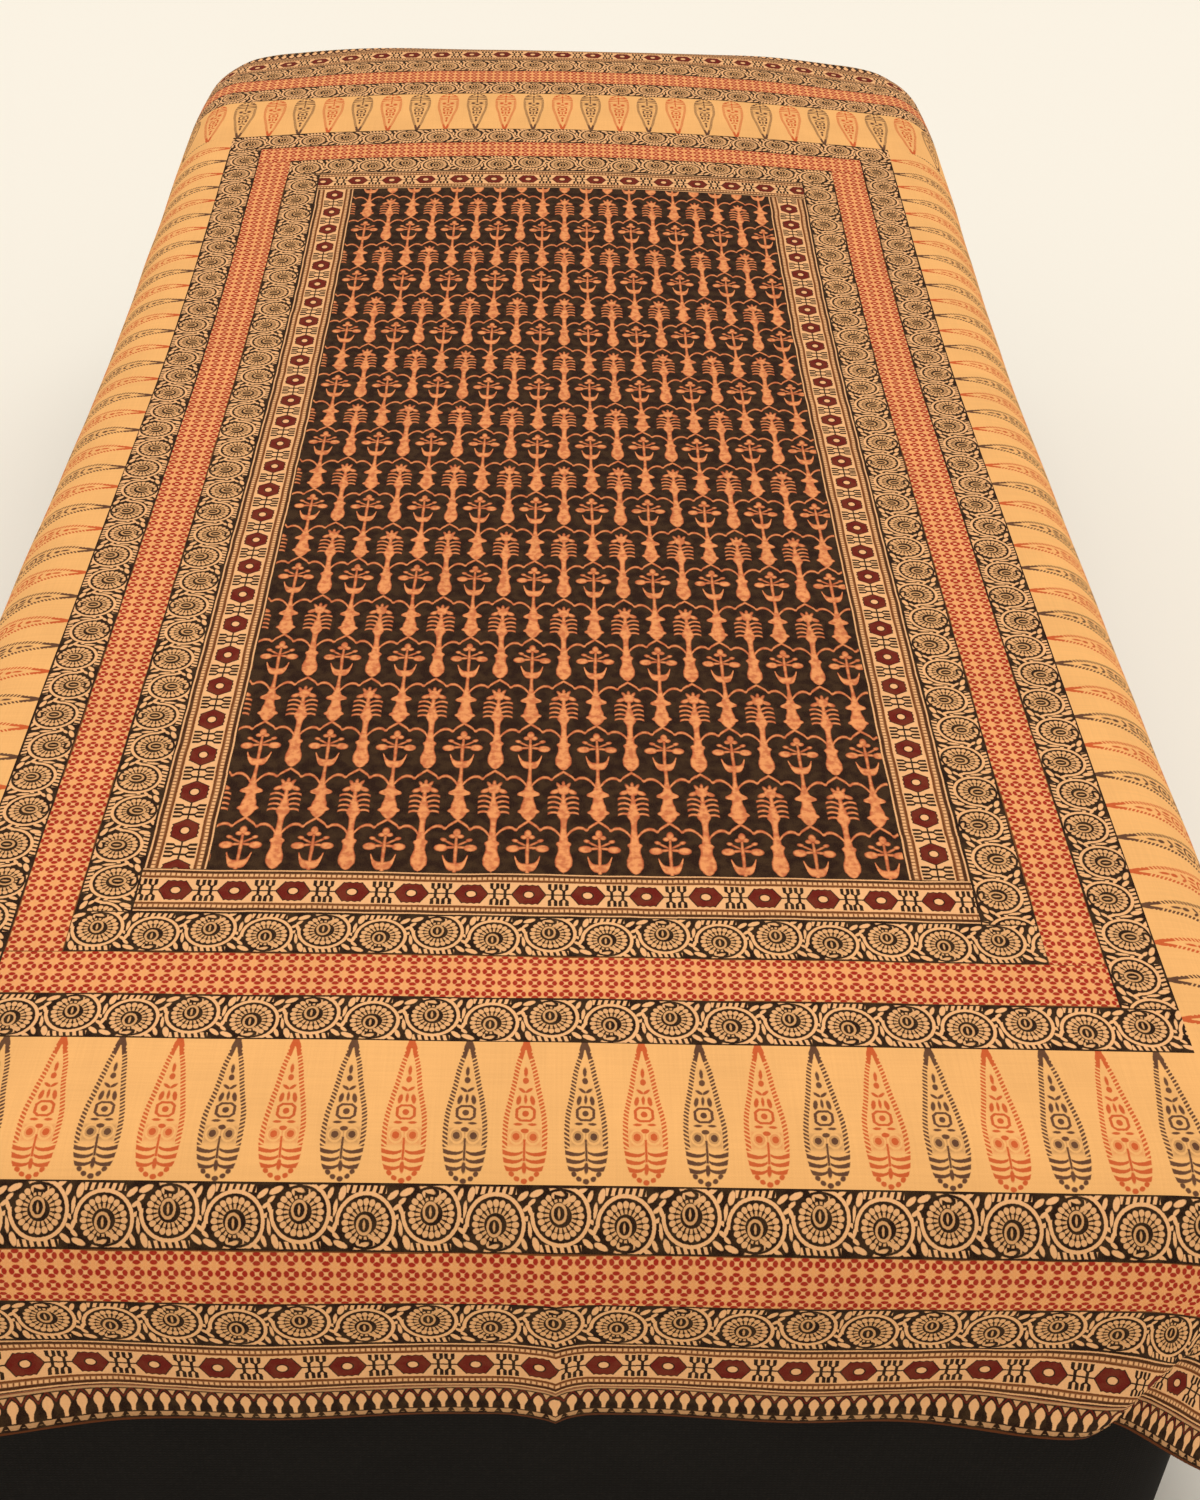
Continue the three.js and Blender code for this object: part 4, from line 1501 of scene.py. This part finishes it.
def stitch_tree(material):
    """Geometry nodes that lay short stitches of thread along a line."""
    inputs = {"Line": GEOMETRY, **dict.fromkeys(("Pitch", "Length", "Thread radius"), FLOAT)}
    group = NodeGroup("Hem stitches", inputs, {"Stitches": GEOMETRY}, "GeometryNodeTree")
    curve = term("GeometryNodeMeshToCurve", {"Mesh": group.given("Line")})
    inputs = {"Curve": curve, "Length": group.given("Pitch")}
    points = term("GeometryNodeResampleCurve", inputs, mode="LENGTH")
    tangent = Term(group.tree.nodes.new("GeometryNodeInputTangent").outputs[0])
    rotation = term("FunctionNodeAlignRotationToVector", {"Vector": tangent}, axis="Z")
    stitch = group.tree.nodes.new("GeometryNodeMeshUVSphere")
    stitch.inputs["Segments"].default_value = STITCH_SEGMENTS
    stitch.inputs["Rings"].default_value = STITCH_RINGS
    radius = group.given("Thread radius")
    size = term("ShaderNodeCombineXYZ", {"X": radius, "Y": radius, "Z": group.given("Length") * 0.5})
    shape = Term(stitch.outputs["Mesh"])
    inputs = {"Points": points, "Instance": shape, "Rotation": rotation, "Scale": size}
    stitches = term("GeometryNodeInstanceOnPoints", inputs)
    realized = term("GeometryNodeRealizeInstances", {"Geometry": stitches})
    paint = term("GeometryNodeSetMaterial", {"Geometry": realized, "Material": material})
    return group.give(Stitches=paint)


def length_property(name, description, default):
    return bpy.props.FloatProperty(name=name, description=description, default=default, unit="LENGTH")


class ClothSettings(bpy.types.PropertyGroup):
    """Sizes of the sheet and of how it lies."""

    width: length_property("Width", "Flat width", 1.524)
    length: length_property("Length", "Flat length", 2.286)
    thickness: length_property("Thickness", "Thickness of one layer of cloth", 0.0006)
    hem_width: length_property("Hem", "Width of the turned hem", 0.0055)
    lift: length_property("Lift", "Height over the solid's underside", 0.0004)
    ripple: length_property("Ripple", "Height of the slight unevenness", 0.0012)
    crease_depth: length_property("Crease", "How far the pressed centre crease stands out", 0.0045)
    crease_half: length_property("Crease half width", "Where the crease has fallen by two thirds", 0.007)
    cell: length_property("Cell", "Widest cell of the sheet's mesh", 0.0105)
    strike_through: bpy.props.FloatProperty(
        name="Strike through",
        description="Share of the dye that shows underneath",
        default=0.55,
        subtype="FACTOR",
    )


def colour_property(name, description, default):
    return bpy.props.FloatVectorProperty(
        name=name, description=description, default=default, size=3, min=0.0, max=1.0, subtype="COLOR"
    )


class PrintColours(bpy.types.PropertyGroup):
    """Colours of the cloth and its dyes."""

    ground: colour_property("Ground", "Plain cloth round the cypresses", (0.90, 0.465, 0.160))
    cream: colour_property("Cream", "Undyed figures", (0.90, 0.475, 0.21))
    underside: colour_property("Underside", "Cloth behind the dye", (0.74, 0.42, 0.16))
    field_black: colour_property("Field black", "Ground of the middle", (0.018, 0.0055, 0.0035))
    black: colour_property("Black", "Ground of the scrolls", (0.014, 0.0042, 0.0024))
    plant_tan: colour_property("Plant tan", "Plants of the field", (0.87, 0.335, 0.12))
    plant_red: colour_property("Plant red", "Madder blotches on the plants", (0.42, 0.06, 0.022))
    tan: colour_property("Tan", "Inside of the medallions", (0.52, 0.25, 0.08))
    maroon: colour_property("Maroon", "Rosettes", (0.15, 0.008, 0.005))
    brown: colour_property("Brown", "Guard lines and hem", (0.17, 0.045, 0.010))
    peach: colour_property("Peach", "Ground of the lattice", (0.88, 0.38, 0.135))
    red: colour_property("Red", "Seeds of the lattice", (0.40, 0.018, 0.008))
    tree_red: colour_property("Cypress red", "Every other cypress", (0.60, 0.085, 0.018))
    tree_dark: colour_property("Cypress dark", "The cypresses between", (0.068, 0.023, 0.018))


class CoverSettings(bpy.types.PropertyGroup):
    """Colours of the black cover."""

    colour: colour_property("Cover", "Black cover", (0.0075, 0.0062, 0.0052))
    lint: colour_property("Lint", "Lint and worn threads on the cover", (0.020, 0.017, 0.014))


class StitchSettings(bpy.types.PropertyGroup):
    """Sizes of the hem's stitches."""

    pitch: length_property("Pitch", "From one stitch to the next", 0.0038)
    length: length_property("Length", "Length of a stitch", 0.0027)
    radius: length_property("Thread radius", "Radius of the thread", 0.00022)
    from_edge: length_property("From the edge", "How far inside the hem's edge", 0.0042)
    colour: colour_property("Thread", "Sewing thread", (0.50, 0.26, 0.09))


class StageSettings(bpy.types.PropertyGroup):
    """Floor, light and camera."""

    floor: colour_property("Floor", "Pale floor", (0.93, 0.885, 0.80))
    key_strength: bpy.props.FloatProperty(
        name="Key light", description="Strength of the light overhead", default=1.4, min=0.0
    )
    key_width: bpy.props.FloatProperty(
        name="Key width",
        description="Angle the light overhead fills",
        default=math.radians(75),
        subtype="ANGLE",
    )
    surround: bpy.props.FloatProperty(
        name="Surround", description="Strength of the light all round", default=0.64, min=0.0
    )
    lens: bpy.props.FloatProperty(name="Lens", description="Focal length in millimetres", default=45.15)


class BEDSHEET_OT_sheet(bpy.types.Operator):
    """Makes the printed sheet and hides its plain solid"""

    bl_idname = "bedsheet.sheet"
    bl_label = "Printed sheet"

    def execute(self, context):
        settings = context.scene.cloth_settings
        paints = context.scene.print_colours
        sheet = link_object("printed_sheet", ClothMesh(settings).build("printed_sheet"))
        groups = {"blocks": hand_block_group(), "cotton": cotton_group(), "dyed": dyed_cotton_group()}
        for row in PRINTS:
            sheet.data.materials.append(printed_material(row, groups, paints))
        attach(sheet, BODY)
        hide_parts("bed_sheet")
        return {"FINISHED"}


class BEDSHEET_OT_stitches(bpy.types.Operator):
    """Sews the turned hem with short stitches"""

    bl_idname = "bedsheet.stitches"
    bl_label = "Hem stitches"

    def execute(self, context):
        cloth = context.scene.cloth_settings
        settings = context.scene.stitch_settings
        points = hem_line(cloth, settings.from_edge, settings.pitch)
        count = len(points)
        line = bpy.data.meshes.new("hem_line")
        line.from_pydata(points.tolist(), [(i, (i + 1) % count) for i in range(count)], [])
        guide = link_object("hem_guide", line)
        material = thread_material(settings.colour)
        modifier = guide.modifiers.new("Stitches", "NODES")
        modifier.node_group = stitch_tree(material)
        values = {"Pitch": settings.pitch, "Length": settings.length, "Thread radius": settings.radius}
        for item in modifier.node_group.interface.items_tree:
            if item.name in values:
                modifier[item.identifier] = values[item.name]
        evaluated = guide.evaluated_get(context.evaluated_depsgraph_get())
        mesh = bpy.data.meshes.new_from_object(evaluated)
        guide.modifiers.clear()
        bpy.data.objects.remove(guide)
        mesh.name = "hem_stitches"
        stitches = link_object("hem_stitches", mesh)
        if not mesh.polygons:
            raise RuntimeError("The hem has no stitches")
        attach(stitches, BODY)
        return {"FINISHED"}


class BEDSHEET_OT_mattress(bpy.types.Operator):
    """Makes the mattress in its black cover"""

    bl_idname = "bedsheet.mattress"
    bl_label = "Mattress"

    def execute(self, context):
        block = BedBlock(
            inset=0.0,
            bottom=MATTRESS_BOTTOM,
            bottom_edge=MATTRESS_BOTTOM_EDGE,
            top_edge=TOP_EDGE,
            top_at=lambda x, y: BED_TOP + crown_height(x, y),
        )
        mattress = link_object("mattress_block", block.make_mesh("mattress_block"))
        mattress.data.materials.append(cover_material("mattress_cover", context.scene.cover_settings))
        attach(mattress, BODY)
        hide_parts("mattress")
        return {"FINISHED"}


class BEDSHEET_OT_base(bpy.types.Operator):
    """Makes the covered base under the mattress"""

    bl_idname = "bedsheet.base"
    bl_label = "Base"

    def execute(self, context):
        block = BedBlock(
            inset=BASE_INSET,
            bottom=BASE_NODE_BOX[0][2],
            bottom_edge=BASE_EDGE,
            top_edge=BASE_EDGE,
            top_at=level_at(BASE_NODE_BOX[1][2]),
        )
        base = link_object("covered_base", block.make_mesh("covered_base"))
        base.data.materials.append(cover_material("base_cover", context.scene.cover_settings))
        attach(base, BODY)
        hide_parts("bed_base")
        return {"FINISHED"}


CameraPlace = namedtuple("CameraPlace", "location down right roll")
CAMERA = CameraPlace((0.00118, -1.80740, 1.40602), 37.907, 1.631, 1.780)


def aim_camera(camera):
    """Turns the camera down, to the right and over by its measured angles."""
    down = math.radians(CAMERA.down)
    yaw = math.radians(CAMERA.right)
    roll = math.radians(CAMERA.roll)
    forward = Vector((math.sin(yaw) * math.cos(down), math.cos(yaw) * math.cos(down), -math.sin(down)))
    level = Vector((math.cos(yaw), -math.sin(yaw), 0.0))
    up = level.cross(forward)
    right = level * math.cos(roll) + up * math.sin(roll)
    upright = up * math.cos(roll) - level * math.sin(roll)
    turned = Matrix((right, upright, -forward)).transposed().to_4x4()
    camera.matrix_world = Matrix.Translation(CAMERA.location) @ turned


FLOOR_HALF = 25.0
KEY_COLOUR = (1.0, 0.97, 0.93)
KEY_PLACE = (0.3, 0.6, 3.0)
KEY_AIM = Vector((0.0, 0.0, 0.4))
SURROUND_COLOUR = (0.96, 0.93, 0.87)
SENSOR_WIDTH = 36.0


class BEDSHEET_OT_stage(bpy.types.Operator):
    """Makes the floor, the lights and the camera"""

    bl_idname = "bedsheet.stage"
    bl_label = "Stage"

    def execute(self, context):
        scene = context.scene
        settings = scene.stage_settings
        mesh = bpy.data.meshes.new("floor")
        corners = [(FLOOR_HALF * i, FLOOR_HALF * j, 0) for i, j in ((-1, -1), (1, -1), (1, 1), (-1, 1))]
        mesh.from_pydata(corners, [], [(0, 1, 2, 3)])
        floor = link_object("floor", mesh)
        material, _, _ = start_material("pale_floor", Base_Color=solid(settings.floor), Roughness=0.9)
        mesh.materials.append(material)

        light = bpy.data.lights.new("soft_key", "SUN")
        light.energy = settings.key_strength
        light.angle = settings.key_width
        light.color = KEY_COLOUR
        lamp = link_object("soft_key", light)
        lamp.location = KEY_PLACE
        aim = KEY_AIM - lamp.location
        lamp.rotation_euler = aim.to_track_quat("-Z", "Y").to_euler()

        world = bpy.data.worlds.new("studio")
        world.use_nodes = True
        background = world.node_tree.nodes["Background"]
        background.inputs["Color"].default_value = solid(SURROUND_COLOUR)
        background.inputs["Strength"].default_value = settings.surround
        scene.world = world
        scene.view_settings.view_transform = "Standard"

        data = bpy.data.cameras.new("camera")
        data.lens = settings.lens
        data.sensor_width = SENSOR_WIDTH
        camera = link_object("camera", data)
        aim_camera(camera)
        scene.camera = camera
        return {"FINISHED"}


OPERATORS = (
    BEDSHEET_OT_stage,
    BEDSHEET_OT_mattress,
    BEDSHEET_OT_base,
    BEDSHEET_OT_sheet,
    BEDSHEET_OT_stitches,
)
SETTINGS_GROUPS = {
    "cloth_settings": ClothSettings,
    "print_colours": PrintColours,
    "cover_settings": CoverSettings,
    "stitch_settings": StitchSettings,
    "stage_settings": StageSettings,
}


class BEDSHEET_PT_panel(bpy.types.Panel):
    """Lists what the bed sheet is made from"""

    bl_idname = "BEDSHEET_PT_panel"
    bl_label = "Bed sheet"
    bl_space_type = "VIEW_3D"
    bl_region_type = "UI"
    bl_category = "Bed sheet"

    def draw(self, context):
        for operator in OPERATORS:
            self.layout.operator(operator.bl_idname, text=operator.bl_label)
        for name, group in SETTINGS_GROUPS.items():
            box = self.layout.box()
            settings = getattr(context.scene, name)
            for field in group.__annotations__:
                box.prop(settings, field)


def register():
    for group in SETTINGS_GROUPS.values():
        bpy.utils.register_class(group)
    for operator in OPERATORS:
        bpy.utils.register_class(operator)
    bpy.utils.register_class(BEDSHEET_PT_panel)
    for name, group in SETTINGS_GROUPS.items():
        setattr(bpy.types.Scene, name, bpy.props.PointerProperty(type=group))


def unregister():
    for name in SETTINGS_GROUPS:
        delattr(bpy.types.Scene, name)
    bpy.utils.unregister_class(BEDSHEET_PT_panel)
    for operator in reversed(OPERATORS):
        bpy.utils.unregister_class(operator)
    for group in reversed(SETTINGS_GROUPS.values()):
        bpy.utils.unregister_class(group)


def main():
    register()
    bpy.ops.bedsheet.stage()
    bpy.ops.bedsheet.mattress()
    bpy.ops.bedsheet.base()
    bpy.ops.bedsheet.sheet()
    bpy.ops.bedsheet.stitches()


if __name__ == "__main__":
    main()
